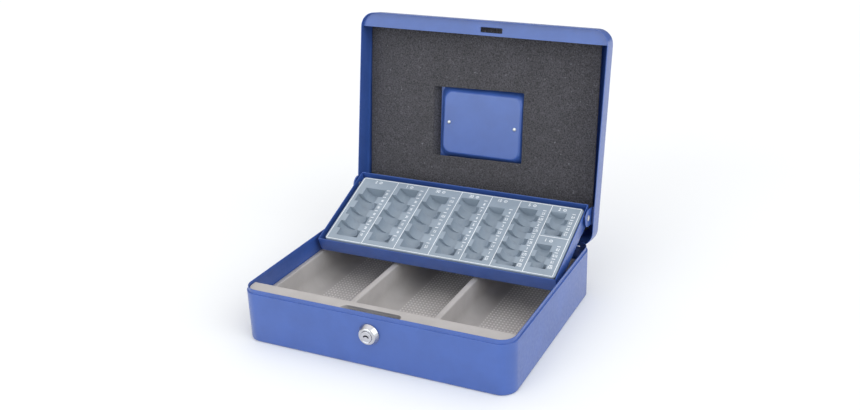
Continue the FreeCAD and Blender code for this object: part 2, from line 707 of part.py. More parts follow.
def handle():
    """Bail of round rod in two riveted saddles."""
    for side, name in ((-1, "left"), (1, "right")):
        edges = sorted((f"{side} * saddle_inner", f"{side} * (saddle_inner + saddle_width)"), key=value)
        block = box(*edges, "recess_centre - saddle_depth / 2", "recess_centre + saddle_depth / 2",
                    "recess_floor", "saddle_top")
        bore_start = (f"{edges[0]} - 1", "recess_centre", "handle_level")
        bore = cylinder("handle_rod + running_gap", "saddle_width + 2", bore_start, "X")
        middle = f"{side} * (saddle_inner + saddle_width / 2)"
        pit = cylinder("rivet_radius", "1.4", (middle, "recess_centre", "recess_floor"), "Z")
        piece(cut(block, bore, pit), f"handle_saddle_{name}", OPEN)
    rivets = []
    for side in ("-1", "1"):
        middle = f"{side} * (saddle_inner + saddle_width / 2)"
        under = "recess_floor - gauge"
        shank = cylinder("rivet_radius", "gauge + 1.4", (middle, "recess_centre", under), "Z")
        head_start = (middle, "recess_centre", f"{under} - rivet_head")
        head = cylinder("rivet_radius + 0.6", "rivet_head", head_start, "Z")
        rivets.append(fuse(shank, head))
    piece(group(*rivets), "handle_rivets", OPEN)

    body = new_body("handle_bail")
    path = sketch_on(body, "XY", "handle_level")
    half = value("handle_half")
    reach = value("handle_reach")
    bend = value("handle_bend")
    end = value("handle_pin_end")
    small = value("handle_bend / 2")
    axis = value("recess_centre")
    far = axis + reach
    points = [(-end, axis, 0), (-half, axis, small), (-half, far, bend),
              (half, far, bend), (half, axis, small), (end, axis, 0)]
    add_path(path, points)
    section = sketch_on(body, "YZ", "-handle_pin_end")
    add_circle(section, "recess_centre", "handle_level", "handle_rod")
    rod = body.newObject("PartDesign::AdditivePipe", "rod")
    rod.Profile = section
    rod.Spine = path
    doc.recompute()
    piece(body, "handle_bail", HANGING)


def add_path(sketch, points):
    """A chain of straight runs joined by tangent arcs; each point is (x, y, radius of its corner)."""
    previous = FreeCAD.Vector(*points[0][:2], 0)
    for index in range(1, len(points)):
        corner = FreeCAD.Vector(*points[index][:2], 0)
        radius = points[index][2]
        arrive = (corner - FreeCAD.Vector(*points[index - 1][:2], 0)).normalize()
        if index + 1 == len(points):
            sketch.addGeometry(Part.LineSegment(previous, corner), False)
            break
        leave = (FreeCAD.Vector(*points[index + 1][:2], 0) - corner).normalize()
        start = corner - arrive * radius
        end = corner + leave * radius
        middle = corner + (leave - arrive) * radius * (1 - 0.5 ** 0.5)
        sketch.addGeometry(Part.LineSegment(previous, start), False)
        sketch.addGeometry(Part.Arc(start, middle, end), False)
        previous = end


def tray_ears():
    """Brackets on the lid's side walls that carry the tray's pivots."""
    for side, name in ((-1, "left"), (1, "right")):
        def across(inner, outer):
            return sorted((f"{side} * ({inner})", f"{side} * ({outer})"), key=value)
        wall = "box_width / 2 - gauge"
        low = "pivot_y - ear_radius"
        high = "pivot_y + ear_radius"
        arm = box(*across("ear_inner", "ear_inner + ear_gauge"), low, high, "pivot_z", "ear_jog + ear_gauge")
        jog = box(*across("ear_inner", wall), low, high, "ear_jog", "ear_jog + ear_gauge")
        weld = box(*across(f"{wall} - ear_gauge", wall), low, high, "ear_jog", "ear_top")
        inner, outer = across("ear_inner", "ear_inner + ear_gauge")
        end = cylinder("ear_radius", "ear_gauge", (inner, "pivot_y", "pivot_z"), "X")
        hole = cylinder("pivot_pin_radius + running_gap", "ear_gauge + 2",
                        (f"{inner} - 1", "pivot_y", "pivot_z"), "X")
        piece(cut(fuse(arm, jog, weld, end), hole), f"tray_ear_{name}", OPEN)


# ---------------------------------------------------------------- tray, drawn about its pivot


TRAY_TOP = "pivot_from_top"
TRAY_FOOT = "(pivot_from_top - tray_height)"
TRAY_REAR = "pivot_from_rear"
TRAY_FRONT = "(pivot_from_rear - tray_depth)"


def tray_pan():
    """Folded steel tray with open seams at its four corners."""
    body = new_body("tray_pan")
    outline = sketch_on(body, "XY", TRAY_FOOT)
    add_rectangle(outline, "-tray_width / 2", "tray_width / 2", TRAY_FRONT, TRAY_REAR)
    pad(body, outline, "tray_height")
    inside = sketch_on(body, "XY", TRAY_TOP)
    add_rectangle(inside, "gauge - tray_width / 2", "tray_width / 2 - gauge",
                  f"{TRAY_FRONT} + gauge", f"{TRAY_REAR} - gauge")
    pocket(body, inside, "tray_height - gauge")
    dress(body, "Fillet", "gauge", at_level(TRAY_FOOT))
    seams = sketch_on(body, "XY", TRAY_TOP)
    for x0, x1 in (("-tray_width / 2 - 1", "gauge - tray_width / 2"),
                   ("tray_width / 2 - gauge", "tray_width / 2 + 1")):
        for y in (f"{TRAY_FRONT} + gauge", f"{TRAY_REAR} - gauge - tray_seam"):
            add_rectangle(seams, x0, x1, y, f"{y} + tray_seam")
    pocket(body, seams, "tray_height - gauge - 1")
    pivots = sketch_on(body, "YZ", "-tray_width / 2 - 1")
    add_circle(pivots, "0", "0", "pivot_pin_radius")
    pocket(body, pivots, "tray_width + 2", reverse=True)
    piece(body, "tray_pan", TILTED)


def from_rear(distance):
    """Turns a distance from the tray's rear edge into the tray's own y."""
    return f"pivot_from_rear - ({distance})"


def coin_plate():
    """Thin plastic counting plate: half-round coin wells, stepped left and right in turn."""
    top = f"({TRAY_TOP} + plate_rise)"
    body = new_body("coin_plate_blank")
    lip = sketch_on(body, "XY", top)
    add_rounded(lip, "plate_left", "plate_right", from_rear("plate_front"), from_rear("plate_rear"),
                "plate_radius")
    pad(body, lip, "plate_lip", reverse=True)
    core = sketch_on(body, "XY", top)
    add_rounded(core, "plate_left + plate_wall", "plate_right - plate_wall",
                from_rear("plate_front - plate_wall"), from_rear("plate_rear + plate_wall"), "plate_radius")
    floor = "(gauge - tray_height + pivot_from_top)"
    pad(body, core, f"{top} - {floor}", reverse=True)
    inner_left = "plate_left + plate_wall + plate_skin"
    inner_right = "plate_right - plate_wall - plate_skin"
    hollow = box(inner_left, inner_right, from_rear("plate_front - plate_wall - plate_skin"),
                 from_rear("plate_rear + plate_wall + plate_skin"), f"{floor} - 1", f"{top} - plate_skin")
    wells = []
    linings = []
    for left, width, step, start, pitch, count, stepped, last in COLUMNS:
        for index in range(count):
            shift = step if (index % 2 == 0) == stepped else 0.0
            rear = start + index * pitch
            front = min(rear + pitch, last)
            centre = left - shift + width / 2
            wells.append(cylinder(width / 2, front - rear, (centre, from_rear(front), top), "Y"))
            linings.append(cylinder(f"{width / 2} + plate_skin", f"{front - rear} + 2 * plate_skin",
                                    (centre, from_rear(f"{front} + plate_skin"), top), "Y"))
    piece(cut(body, cut(hollow, *linings), *wells), "coin_plate", TILTED)


def tray_pivots():
    """A headed pin and a spacing washer at each side."""
    for side, name in ((-1, "left"), (1, "right")):
        inside = "tray_width / 2 - gauge"
        outside = "ear_inner + ear_gauge"

        def rod(radius, inner, outer):
            low, high = sorted((f"{side} * ({inner})", f"{side} * ({outer})"), key=value)
            return cylinder(radius, f"({high}) - ({low})", (low, "0", "0"), "X")
        pin = fuse(rod("pivot_pin_radius", inside, outside),
                   rod("pivot_head_radius", f"{inside} - pivot_head", inside),
                   rod("pivot_head_radius", f"{outside} + 0.1", f"{outside} + 0.1 + pivot_head"),
                   rod("pivot_pin_radius", outside, f"{outside} + 0.2"))
        piece(pin, f"tray_pin_{name}", TILTED)
        washer = cut(rod("washer_radius", "tray_width / 2", "ear_inner - 0.15"),
                     rod("pivot_pin_radius", "tray_width / 2 - 1", "ear_inner + 1"))
        piece(washer, f"tray_washer_{name}", TILTED)


for make in (base_shell, hinge, compartment_insert, lock, lid_shell, latch_plate, foam_pad, handle, tray_ears,
             tray_pan, coin_plate, tray_pivots):
    make()
doc.recompute()

broken = [thing.Name for thing in doc.Objects if "Invalid" in thing.State or "Error" in thing.State]
if broken:
    raise RuntimeError(f"features that did not build: {broken}")
for thing in PIECES:
    if thing.Shape.isNull() or not thing.Shape.isValid():
        raise RuntimeError(f"{thing.Label} has no valid shape")
os.makedirs("parts", exist_ok=True)
for thing in PIECES:
    thing.Shape.exportStep(f"parts/{thing.Label}.step")
    print(f"{thing.Label}: {len(thing.Shape.Solids)} solid(s), {thing.Shape.Volume / 1000:.2f} cm3")
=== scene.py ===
"""Looks of a blue steel cash box that stands open. Lengths are in millimetres until a mesh is made."""
import json
import math
from collections import namedtuple

import bmesh
import bpy
import numpy as np
from mathutils import Matrix, Vector, noise


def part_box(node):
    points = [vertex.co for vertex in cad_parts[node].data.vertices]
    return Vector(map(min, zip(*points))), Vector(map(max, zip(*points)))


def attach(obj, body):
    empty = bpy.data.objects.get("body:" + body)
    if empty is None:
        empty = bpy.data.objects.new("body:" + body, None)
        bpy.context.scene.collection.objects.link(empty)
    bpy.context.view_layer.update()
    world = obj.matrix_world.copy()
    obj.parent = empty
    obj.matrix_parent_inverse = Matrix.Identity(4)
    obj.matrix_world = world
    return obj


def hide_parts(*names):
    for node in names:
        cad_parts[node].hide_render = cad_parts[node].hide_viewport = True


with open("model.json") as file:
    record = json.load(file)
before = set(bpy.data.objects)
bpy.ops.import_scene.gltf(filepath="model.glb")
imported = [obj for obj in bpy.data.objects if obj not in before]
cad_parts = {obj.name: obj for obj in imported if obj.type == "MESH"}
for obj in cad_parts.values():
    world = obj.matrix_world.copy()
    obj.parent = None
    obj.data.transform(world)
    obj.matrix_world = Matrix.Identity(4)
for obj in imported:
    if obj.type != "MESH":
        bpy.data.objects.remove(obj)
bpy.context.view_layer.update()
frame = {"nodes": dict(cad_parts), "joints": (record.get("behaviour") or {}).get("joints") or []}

# ---------- sizes that the frame gives


def millimetres(place):
    """A place in metres, to the nearest hundredth of a millimetre."""
    return [round(1000 * value, 2) for value in place]


JOINTS = {joint["name"]: joint for joint in frame["joints"]}
HALF_X, HALF_Y, RIM_TOP = millimetres(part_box("base_shell")[1])
HINGE_Y, HINGE_Z = millimetres(JOINTS["lid_hinge"]["pos_m"])[1:]
OPEN_ANGLE = JOINTS["lid_hinge"]["range_deg"][1]
LOCK_Z = millimetres(JOINTS["lock_turn"]["pos_m"])[2]
LEDGE_FRONT = millimetres(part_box("compartment_insert")[0])[1]
INSERT_REAR, LEDGE_TOP = millimetres(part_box("compartment_insert")[1])[1:]
TRAY_HALF = millimetres(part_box("tray_pan")[1])[0]
PLATE_LEFT, PLATE_RIGHT = (millimetres(corner)[0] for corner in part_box("coin_plate"))

# ---------- sizes; the lid's are those of the closed box

GAUGE = 0.8
PLAN_RADIUS = 17.0
FOOT_RADIUS = 2.4
SHOULDER = 55.5
JOGGLE = 1.4
REAR_WALL_TOP = 52.4
REAR_OPENING = 138.08
LOCK_HOLE = 8.1
LID_EDGE = 56.0
LID_TOP = 90.0
LID_ROUND = 16.0
PANEL = LID_TOP - GAUGE
RECESS_HALF = (47.2, 35.3)
RECESS_CENTRE = 1.4
RECESS_RADIUS = 10.0
RECESS_FLOOR = 78.8
HANDLE_LEVEL = 84.3
SADDLE_X = 41.3
RIVET_RADIUS = 1.6
TRAY_TILT = 22.0
PIVOT_CLOSED = (84.2, 48.3)
SIDES = ((-1, "left"), (1, "right"))

# ---------- places


def turn_about(y, z, degrees):
    """Rotation about a line along X through (y, z)."""
    point = Vector((0, y, z))
    turn = Matrix.Rotation(math.radians(degrees), 4, "X")
    return Matrix.Translation(point) @ turn @ Matrix.Translation(-point)


FRONT = Matrix.Translation((0, -HALF_Y, LOCK_Z)) @ Matrix.Rotation(math.pi / 2, 4, "X")
LID = turn_about(HINGE_Y, HINGE_Z, -OPEN_ANGLE)
HANGING = Matrix.Rotation(math.radians(OPEN_ANGLE - 90), 4, "X")
HANDLE = LID @ Matrix.Translation((0, RECESS_CENTRE, HANDLE_LEVEL)) @ HANGING
PIVOT = LID @ Vector((0, *PIVOT_CLOSED))
TRAY = Matrix.Translation(PIVOT) @ Matrix.Rotation(math.radians(TRAY_TILT), 4, "X")
# the place that each body's pieces are drawn in
PLACES = {"base": Matrix.Identity(4), "lock": FRONT, "lid": LID, "handle": HANDLE, "tray": TRAY}

# ---------- materials


def material(name, color, roughness, metallic=0.0):
    """A principled material; returns it with its node tree and shader."""
    result = bpy.data.materials.new(name)
    result.use_nodes = True
    shader = result.node_tree.nodes["Principled BSDF"]
    shader.inputs["Base Color"].default_value = (*color, 1)
    shader.inputs["Roughness"].default_value = roughness
    shader.inputs["Metallic"].default_value = metallic
    return result, result.node_tree, shader


def node(tree, kind, **settings):
    """A new node; each setting is one of its sockets or one of its properties."""
    made = tree.nodes.new(kind)
    for key, setting in settings.items():
        if key in made.inputs:
            made.inputs[key].default_value = setting
        else:
            setattr(made, key, setting)
    return made


def grain(tree, scale, detail, rough=0.55):
    """Noise on the object's own coordinates; scale is in features per metre."""
    place = node(tree, "ShaderNodeTexCoord")
    made = node(tree, "ShaderNodeTexNoise", Scale=scale, Detail=detail, Roughness=rough)
    tree.links.new(place.outputs["Object"], made.inputs["Vector"])
    return made.outputs["Fac"]


def ramp(tree, source, low, high, start=0.35, end=0.65):
    """Maps a grey value to colours or to greys between two stops."""
    made = node(tree, "ShaderNodeValToRGB")
    for stop, position, color in ((0, start, low), (1, end, high)):
        made.color_ramp.elements[stop].position = position
        rgb = color if isinstance(color, tuple) else (color, color, color)
        made.color_ramp.elements[stop].color = (*rgb, 1)
    tree.links.new(source, made.inputs["Fac"])
    return made.outputs["Color"]


def blend(tree, kind, first, second):
    """Two colours multiplied or added."""
    made = node(tree, "ShaderNodeMixRGB", blend_type=kind, Fac=1.0)
    tree.links.new(first, made.inputs["Color1"])
    tree.links.new(second, made.inputs["Color2"])
    return made.outputs["Color"]


def bump(tree, shader, source, distance, strength, under=None):
    """Bumps of a height in metres, on top of the bumps under them if there are any."""
    made = node(tree, "ShaderNodeBump", Strength=strength, Distance=distance)
    tree.links.new(source, made.inputs["Height"])
    if under is not None:
        tree.links.new(under, made.inputs["Normal"])
    tree.links.new(made.outputs["Normal"], shader.inputs["Normal"])
    return made.outputs["Normal"]


def shade(color, factor):
    """A colour made lighter or darker."""
    return tuple(channel * factor for channel in color)


def make_paint():
    """Satin powder coat: fine orange peel, a broader waviness and faint variation in gloss."""
    blue = (0.041, 0.100, 0.368)
    made, tree, shader = material("blue_powder_coat", blue, 0.38)
    shader.inputs["Coat Weight"].default_value = 0.45
    shader.inputs["Coat Roughness"].default_value = 0.22
    tone = ramp(tree, grain(tree, 35, 3), shade(blue, 0.94), shade(blue, 1.06))
    tree.links.new(tone, shader.inputs["Base Color"])
    gloss = ramp(tree, grain(tree, 260, 5), 0.33, 0.43)
    tree.links.new(gloss, shader.inputs["Roughness"])
    peel = bump(tree, shader, grain(tree, 1300, 3), 0.00003, 0.35)
    bump(tree, shader, grain(tree, 60, 2), 0.00025, 0.12, under=peel)
    return made


def make_foam():
    """Open-cell foam: dark cells with lighter walls and a few stray pale flecks, rough all over."""
    dark, pale = (0.017, 0.0162, 0.0195), (0.099, 0.093, 0.109)
    none, fleck = (0.0, 0.0, 0.0), (0.09, 0.09, 0.10)
    made, tree, shader = material("charcoal_foam", (0.06, 0.06, 0.066), 0.95)
    shader.inputs["Sheen Weight"].default_value = 0.15
    shader.inputs["Sheen Roughness"].default_value = 0.6
    place = node(tree, "ShaderNodeTexCoord")
    cells = node(tree, "ShaderNodeTexVoronoi", Scale=1100.0, Randomness=1.0)
    tree.links.new(place.outputs["Object"], cells.inputs["Vector"])
    speckle = ramp(tree, grain(tree, 620, 5, 0.75), dark, pale, 0.38, 0.62)
    patches = ramp(tree, grain(tree, 45, 4), 0.84, 1.0)
    flecks = ramp(tree, grain(tree, 260, 2, 0.5), none, fleck, 0.70, 0.76)
    tone = blend(tree, "ADD", blend(tree, "MULTIPLY", speckle, patches), flecks)
    tree.links.new(tone, shader.inputs["Base Color"])
    first = bump(tree, shader, cells.outputs["Distance"], 0.0006, 0.8)
    bump(tree, shader, grain(tree, 500, 5), 0.0008, 0.5, under=first)
    return made


def make_plastic(name, color, roughness, texture):
    """Moulded plastic with an eroded texture and slight cloudiness."""
    made, tree, shader = material(name, color, roughness)
    tone = ramp(tree, grain(tree, 40, 4), shade(color, 0.95), shade(color, 1.05))
    tree.links.new(tone, shader.inputs["Base Color"])
    gloss = ramp(tree, grain(tree, 300, 3), roughness - 0.05, roughness + 0.06)
    tree.links.new(gloss, shader.inputs["Roughness"])
    bump(tree, shader, grain(tree, texture, 2), 0.00004, 0.5)
    return made


def make_metal(name, color, roughness, spread, streak):
    """Plated metal: soft variation in gloss, drawn out along X by streak."""
    made, tree, shader = material(name, color, roughness, 1.0)
    place = node(tree, "ShaderNodeTexCoord")
    stretch = node(tree, "ShaderNodeMapping", vector_type="POINT")
    stretch.inputs["Scale"].default_value = (1.0, streak, streak)
    mottle = node(tree, "ShaderNodeTexNoise", Scale=500.0, Detail=4.0)
    tree.links.new(place.outputs["Object"], stretch.inputs["Vector"])
    tree.links.new(stretch.outputs["Vector"], mottle.inputs["Vector"])
    gloss = ramp(tree, mottle.outputs["Fac"], roughness - spread, roughness + spread)
    tree.links.new(gloss, shader.inputs["Roughness"])
    tone = ramp(tree, grain(tree, 120, 3), shade(color, 0.93), color)
    tree.links.new(tone, shader.inputs["Base Color"])
    bump(tree, shader, mottle.outputs["Fac"], 0.00002, 0.3)
    return made


PAINT = make_paint()
FOAM = make_foam()
INSERT = make_plastic("warm_grey_plastic", (0.46, 0.43, 0.42), 0.48, 2200)
# the insert's plastic made lighter: a painted highlight, as if the pips caught the light
PIPS = make_plastic("grey_plastic_painted_highlight", (0.72, 0.69, 0.68), 0.40, 2200)
PLATE = make_plastic("blue_grey_plastic", (0.272, 0.322, 0.388), 0.36, 1800)
INK = make_plastic("white_ink", (0.80, 0.82, 0.86), 0.45, 2500)
CHROME = make_metal("polished_chrome", (0.56, 0.56, 0.60), 0.2, 0.05, 1.0)
ZINC = make_metal("zinc_plate", (0.62, 0.63, 0.64), 0.36, 0.10, 4.0)

# ---------- mesh tools


def placed(name, data):
    """A new object in the scene."""
    made = bpy.data.objects.new(name, data)
    bpy.context.scene.collection.objects.link(made)
    return made


def smooth(mesh, look, sharp):
    """Gives a mesh its one material and smooth shading, with an edge where the turn is sharp."""
    mesh.materials.clear()
    mesh.materials.append(look)
    mesh.shade_smooth()
    mesh.set_sharp_from_angle(angle=math.radians(sharp))


def finish_mesh(name, mesh, body, look, replaced, sharp=35, where=None):
    """Puts a mesh drawn in millimetres in its body's place, shades it, hangs it on its body and hides the CAD
    parts that it replaces.
    """
    mesh.transform(Matrix.Scale(0.001, 4) @ (PLACES[body] if where is None else where))
    smooth(mesh, look, sharp)
    made = placed(name, mesh)
    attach(made, body)
    if replaced:
        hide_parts(*replaced)
    return made


def to_mesh(verts, faces, merge=1e-4):
    """A mesh from points and faces, with points that coincide joined."""
    mesh = bpy.data.meshes.new("mesh")
    mesh.from_pydata([tuple(point) for point in verts], [], faces)
    work = bmesh.new()
    work.from_mesh(mesh)
    bmesh.ops.remove_doubles(work, verts=work.verts, dist=merge)
    bmesh.ops.dissolve_degenerate(work, edges=work.edges, dist=merge)
    bmesh.ops.recalc_face_normals(work, faces=work.faces)
    work.to_mesh(mesh)
    work.free()
    return mesh


def join(meshes):
    """One mesh from several."""
    work = bmesh.new()
    for mesh in meshes:
        work.from_mesh(mesh)
    result = bpy.data.meshes.new("joined")
    work.to_mesh(result)
    work.free()
    return result


def moved(mesh, matrix):
    """The same mesh, after moving it."""
    mesh.transform(matrix)
    return mesh


def raised(mesh, height):
    """The same mesh, after lifting it."""
    return moved(mesh, Matrix.Translation((0, 0, height)))


def upright(mesh, x):
    """The same mesh, drawn in (y, z), after standing it up across X at x."""
    return moved(mesh, Matrix(((0, 0, 1, x), (1, 0, 0, 0), (0, 1, 0, 0), (0, 0, 0, 1))))


def evaluated(thing):
    """The mesh of an object with its modifiers or curve settings applied; the object is removed."""
    bpy.context.view_layer.update()
    view = bpy.context.evaluated_depsgraph_get()
    mesh = bpy.data.meshes.new_from_object(thing.evaluated_get(view))
    bpy.data.objects.remove(thing)
    return mesh


def rings_to_mesh(rings, loop=False):
    """Skins closed rings of equally many points; the first and last are capped, or joined in a loop."""
    count = len(rings[0])
    verts = [point for ring in rings for point in ring]
    last = (len(rings) - 1) * count
    faces = []
    for level in range(len(rings) if loop else len(rings) - 1):
        here = level * count
        above = (level + 1) % len(rings) * count
        for index in range(count):
            following = (index + 1) % count
            faces.append((here + index, here + following, above + following, above + index))
    if not loop:
        faces.append(tuple(range(count))[::-1])
        faces.append(tuple(range(last, last + count)))
    return to_mesh(verts, faces)


def circle(radius, count, centre=(0, 0)):
    """Points spaced evenly round a circle."""
    turns = [math.tau * step / count for step in range(count)]
    return [(centre[0] + radius * math.cos(a), centre[1] + radius * math.sin(a)) for a in turns]


def arc(centre, radius, start, sweep, steps):
    """Points along an arc, both ends included; start and sweep are in degrees."""
    turns = [math.radians(start + sweep * step / steps) for step in range(steps + 1)]
    return [(centre[0] + radius * math.cos(a), centre[1] + radius * math.sin(a)) for a in turns]


def lathe(profile, segments=72):
    """Turns (radius, height) pairs about Z."""
    rings = [[(x, y, height) for x, y in circle(radius, segments)] for radius, height in profile]
    return rings_to_mesh(rings)


def lathe_ring(profile, segments=96):
    """Turns a closed (radius, height) outline that does not touch the axis."""
    spokes = circle(1.0, segments)
    rings = [[(radius * x, radius * y, height) for radius, height in profile] for x, y in spokes]
    return rings_to_mesh(rings, loop=True)


def rounded_path(points, segments=5, closed=False):
    """A 2D path whose corners (a, b, radius) are rounded by arcs."""
    result = []
    count = len(points)
    for index, (a, b, radius) in enumerate(points):
        corner = Vector((a, b))
        if radius <= 0 or (not closed and index in (0, count - 1)):
            result.append((a, b))
            continue
        before = Vector(points[index - 1][:2]) - corner
        after = Vector(points[(index + 1) % count][:2]) - corner
        half = before.angle(after) / 2
        reach = radius / math.tan(half)
        centre = corner + (before.normalized() + after.normalized()).normalized() * (radius / math.sin(half))
        start = corner + before.normalized() * reach - centre
        end = corner + after.normalized() * reach - centre
        sweep = start.angle_signed(end)
        for step in range(segments + 1):
            spoke = start.copy()
            spoke.rotate(Matrix.Rotation(-sweep * step / segments, 2))
            result.append(tuple(centre + spoke))
    return result


def rectangle(left, right, front, rear, radius):
    """The corners of a rectangle, for rounded_path."""
    return [(left, front, radius), (right, front, radius), (right, rear, radius), (left, rear, radius)]


def box_ring(half_x, half_y, radius, z):
    """Points round a rounded rectangle, the same number for every size."""
    corner_steps = 14
    angles = [90.0 * step / corner_steps for step in range(corner_steps + 1)]
    ring = []
    for quarter, (sign_x, sign_y) in enumerate(((1, 1), (-1, 1), (-1, -1), (1, -1))):
        for angle in angles if quarter % 2 == 0 else reversed(angles):
            turn = math.radians(angle)
            x = sign_x * (half_x - radius + radius * math.cos(turn))
            y = sign_y * (half_y - radius + radius * math.sin(turn))
            ring.append((x, y, z))
    return ring


def wall_ring(inset, z):
    """The box's plan outline moved inwards."""
    return box_ring(HALF_X - inset, HALF_Y - inset, PLAN_RADIUS - inset, z)


def between(first, last, steps):
    """Rings spaced evenly between two rings, without the two themselves."""
    a = np.array(first)
    b = np.array(last)
    return [[tuple(point) for point in a + (b - a) * step / steps] for step in range(1, steps)]


def plate(outlines, thickness, soften, resolution):
    """A flat plate with bevelled edges and holes, centred on z = 0, from closed 2D outlines."""
    curve = bpy.data.curves.new("outline", "CURVE")
    curve.dimensions = "2D"
    curve.fill_mode = "BOTH"
    curve.extrude = thickness / 2 - soften
    curve.bevel_depth = soften
    curve.bevel_resolution = resolution
    curve.offset = -soften
    for outline in outlines:
        spline = curve.splines.new("POLY")
        spline.points.add(len(outline) - 1)
        for point, (a, b) in zip(spline.points, outline):
            point.co = (a, b, 0, 1)
        spline.use_cyclic_u = True
    return evaluated(placed("plate", curve))


def extrude_x(profile, x0, x1):
    """Sweeps a closed (y, z) outline along X."""
    return rings_to_mesh([[(x, y, z) for y, z in profile] for x in (x0, x1)])


def cut_away(mesh, tool):
    """Boolean difference of two closed meshes."""
    target = placed("target", mesh)
    cutter = placed("cutter", tool)
    step = target.modifiers.new("cut", "BOOLEAN")
    step.operation = "DIFFERENCE"
    step.solver = "EXACT"
    step.object = cutter
    result = evaluated(target)
    bpy.data.objects.remove(cutter)
    return result


def tube(points, radius):
    """A round rod along a path."""
    curve = bpy.data.curves.new("rod", "CURVE")
    curve.dimensions = "3D"
    curve.bevel_depth = radius
    curve.bevel_resolution = 8
    curve.use_fill_caps = True
    spline = curve.splines.new("POLY")
    spline.points.add(len(points) - 1)
    for point, place in zip(spline.points, points):
        point.co = (*place, 1)
    return evaluated(placed("rod", curve))


def grid_faces(columns, rows):
    """The numbers of a grid's points, column by column, and its four-sided faces."""
    index = np.arange(columns * rows).reshape(columns, rows)
    faces = np.stack([index[:-1, :-1], index[1:, :-1], index[1:, 1:], index[:-1, 1:]], axis=-1).reshape(-1, 4)
    return index, faces.tolist()


# ---------- base


def base_shell():
    """Drawn pan: rounded foot, joggled rim, rear wall lowered along the hinge, hole for the lock."""
    reach = 40
    inside = JOGGLE + GAUGE
    section = rounded_path([
        (reach, 0, 0), (0, 0, FOOT_RADIUS), (0, SHOULDER, 0.5), (JOGGLE, SHOULDER + 0.1, 0.35),
        (JOGGLE, RIM_TOP, 0.3), (inside, RIM_TOP, 0.3), (inside, SHOULDER - 0.3, 0.35),
        (GAUGE, SHOULDER - GAUGE, 0.4), (GAUGE, GAUGE, FOOT_RADIUS - GAUGE), (reach, GAUGE, 0)], 6)[1:-1]
    top = [index for index, (inset, z) in enumerate(section) if z > REAR_WALL_TOP]
    rings = []
    for index, (inset, z) in enumerate(section):
        ring = wall_ring(inset, z)
        if index in top:
            share = (index - top[0]) / (len(top) - 1)
            low = wall_ring(GAUGE * share, REAR_WALL_TOP - 0.1 * abs(2 * share - 1))
            lowered = [abs(x) < REAR_OPENING and y > 0 for x, y, z in ring]
            ring = [low[place] if lowered[place] else here for place, here in enumerate(ring)]
        rings.append(ring)
    drill = moved(lathe([(LOCK_HOLE, -6), (LOCK_HOLE, 6)], 48), FRONT)
    finish_mesh("base_pan", cut_away(rings_to_mesh(rings), drill), "base", PAINT, ["base_shell"])


INSERT_HALF = 148.9
INSERT_TOP = 38.0
INSERT_FLOOR = 2.9
BAYS = ((-143.1, -53.0), (-45.8, 43.8), (51.0, 143.1))
BAY_FRONT = -97.6
BAY_REAR = 109.8
SCOOP = 16.0
COVE = 4.0
LIP = 1.6
LEDGE_LIP = 0.9
LEDGE_GAUGE = 1.8
WALL_RUN = 0.12
NOTCH_LEFT = -36
NOTCH_RIGHT = 30.5
NOTCH_REAR = -105.2


def wall_profile(distance, top, edge, foot):
    """Height of a bay's wall against the distance from it into the bay: rounded lip, wall, cove."""
    result = np.full(distance.shape, float(top))
    lip = (distance > -edge) & (distance <= 0)
    result[lip] = top - edge + np.sqrt(np.maximum(edge ** 2 - (distance[lip] + edge) ** 2, 0))
    inside = distance > 0
    run = np.clip(distance[inside] - WALL_RUN, 0, foot)
    cove = INSERT_FLOOR + foot - np.sqrt(np.maximum(foot ** 2 - (foot - run) ** 2, 0))
    fall = np.clip(distance[inside] / WALL_RUN, 0, 1)
    wall = (top - edge) * (1 - fall) + (INSERT_FLOOR + foot) * fall
    result[inside] = np.where(distance[inside] < WALL_RUN, wall, cove)
    return result


def wall_lines(at, direction, edge, foot):
    """Grid lines that the profile of one wall needs."""
    lips = [-edge, -edge * 0.62, -edge * 0.3, -edge * 0.1]
    coves = [WALL_RUN + foot * (1 - math.cos(math.radians(a))) for a in (0, 12, 24, 36, 48, 60, 75, 90)]
    return [at + direction * distance for distance in [*lips, 0.0, *coves]]


def insert_height(x, y):
    """Height of the insert's upper surface, eased down along the outer rim."""
    ease = 0.9
    across = np.full(x.shape, INSERT_TOP)
    for left, right in BAYS:
        from_left = wall_profile(x - left, INSERT_TOP, LIP, SCOOP)
        from_right = wall_profile(right - x, INSERT_TOP, LIP, COVE)
        across = np.minimum(across, np.where(x < (left + right) / 2, from_left, from_right))
    rear = wall_profile(BAY_REAR - y, INSERT_TOP, LIP, COVE)
    front = wall_profile(y - BAY_FRONT, LEDGE_TOP - 0.4, LEDGE_LIP, COVE)
    rim = np.minimum(INSERT_HALF - np.abs(x), INSERT_REAR - y)
    return np.maximum(np.maximum(across, rear), front) - np.clip(ease - rim, 0, ease) ** 2


def insert_outline(x, y):
    """Pulls the points of a rectangular grid in to the insert's rounded rear corners and narrower front."""
    radius = 15.7
    front_half = 147.0
    over_x = np.abs(x) - (INSERT_HALF - radius)
    over_y = y - (INSERT_REAR - radius)
    reach = np.hypot(over_x, over_y)
    outside = (over_x > 0) & (over_y > 0) & (reach > radius)
    scale = np.where(outside, radius / np.maximum(reach, 1e-6), 1.0)
    new_x = np.where(outside, np.sign(x) * (INSERT_HALF - radius + over_x * scale), x)
    new_y = np.where(outside, INSERT_REAR - radius + over_y * scale, y)
    beyond = (y < BAY_FRONT - 0.5) & (np.abs(x) > front_half)
    return np.where(beyond, np.sign(x) * front_half, new_x), new_y


def notch_side(spread, rear, radius):
    """The notch's outline, open to the front, wider on each side by spread."""
    left, right, front = NOTCH_LEFT - spread, NOTCH_RIGHT + spread, LEDGE_FRONT - 1.2
    corners = [(left, front, 0), (left, rear, radius), (right, rear, radius), (right, front, 0)]
    return rounded_path(corners, 10)


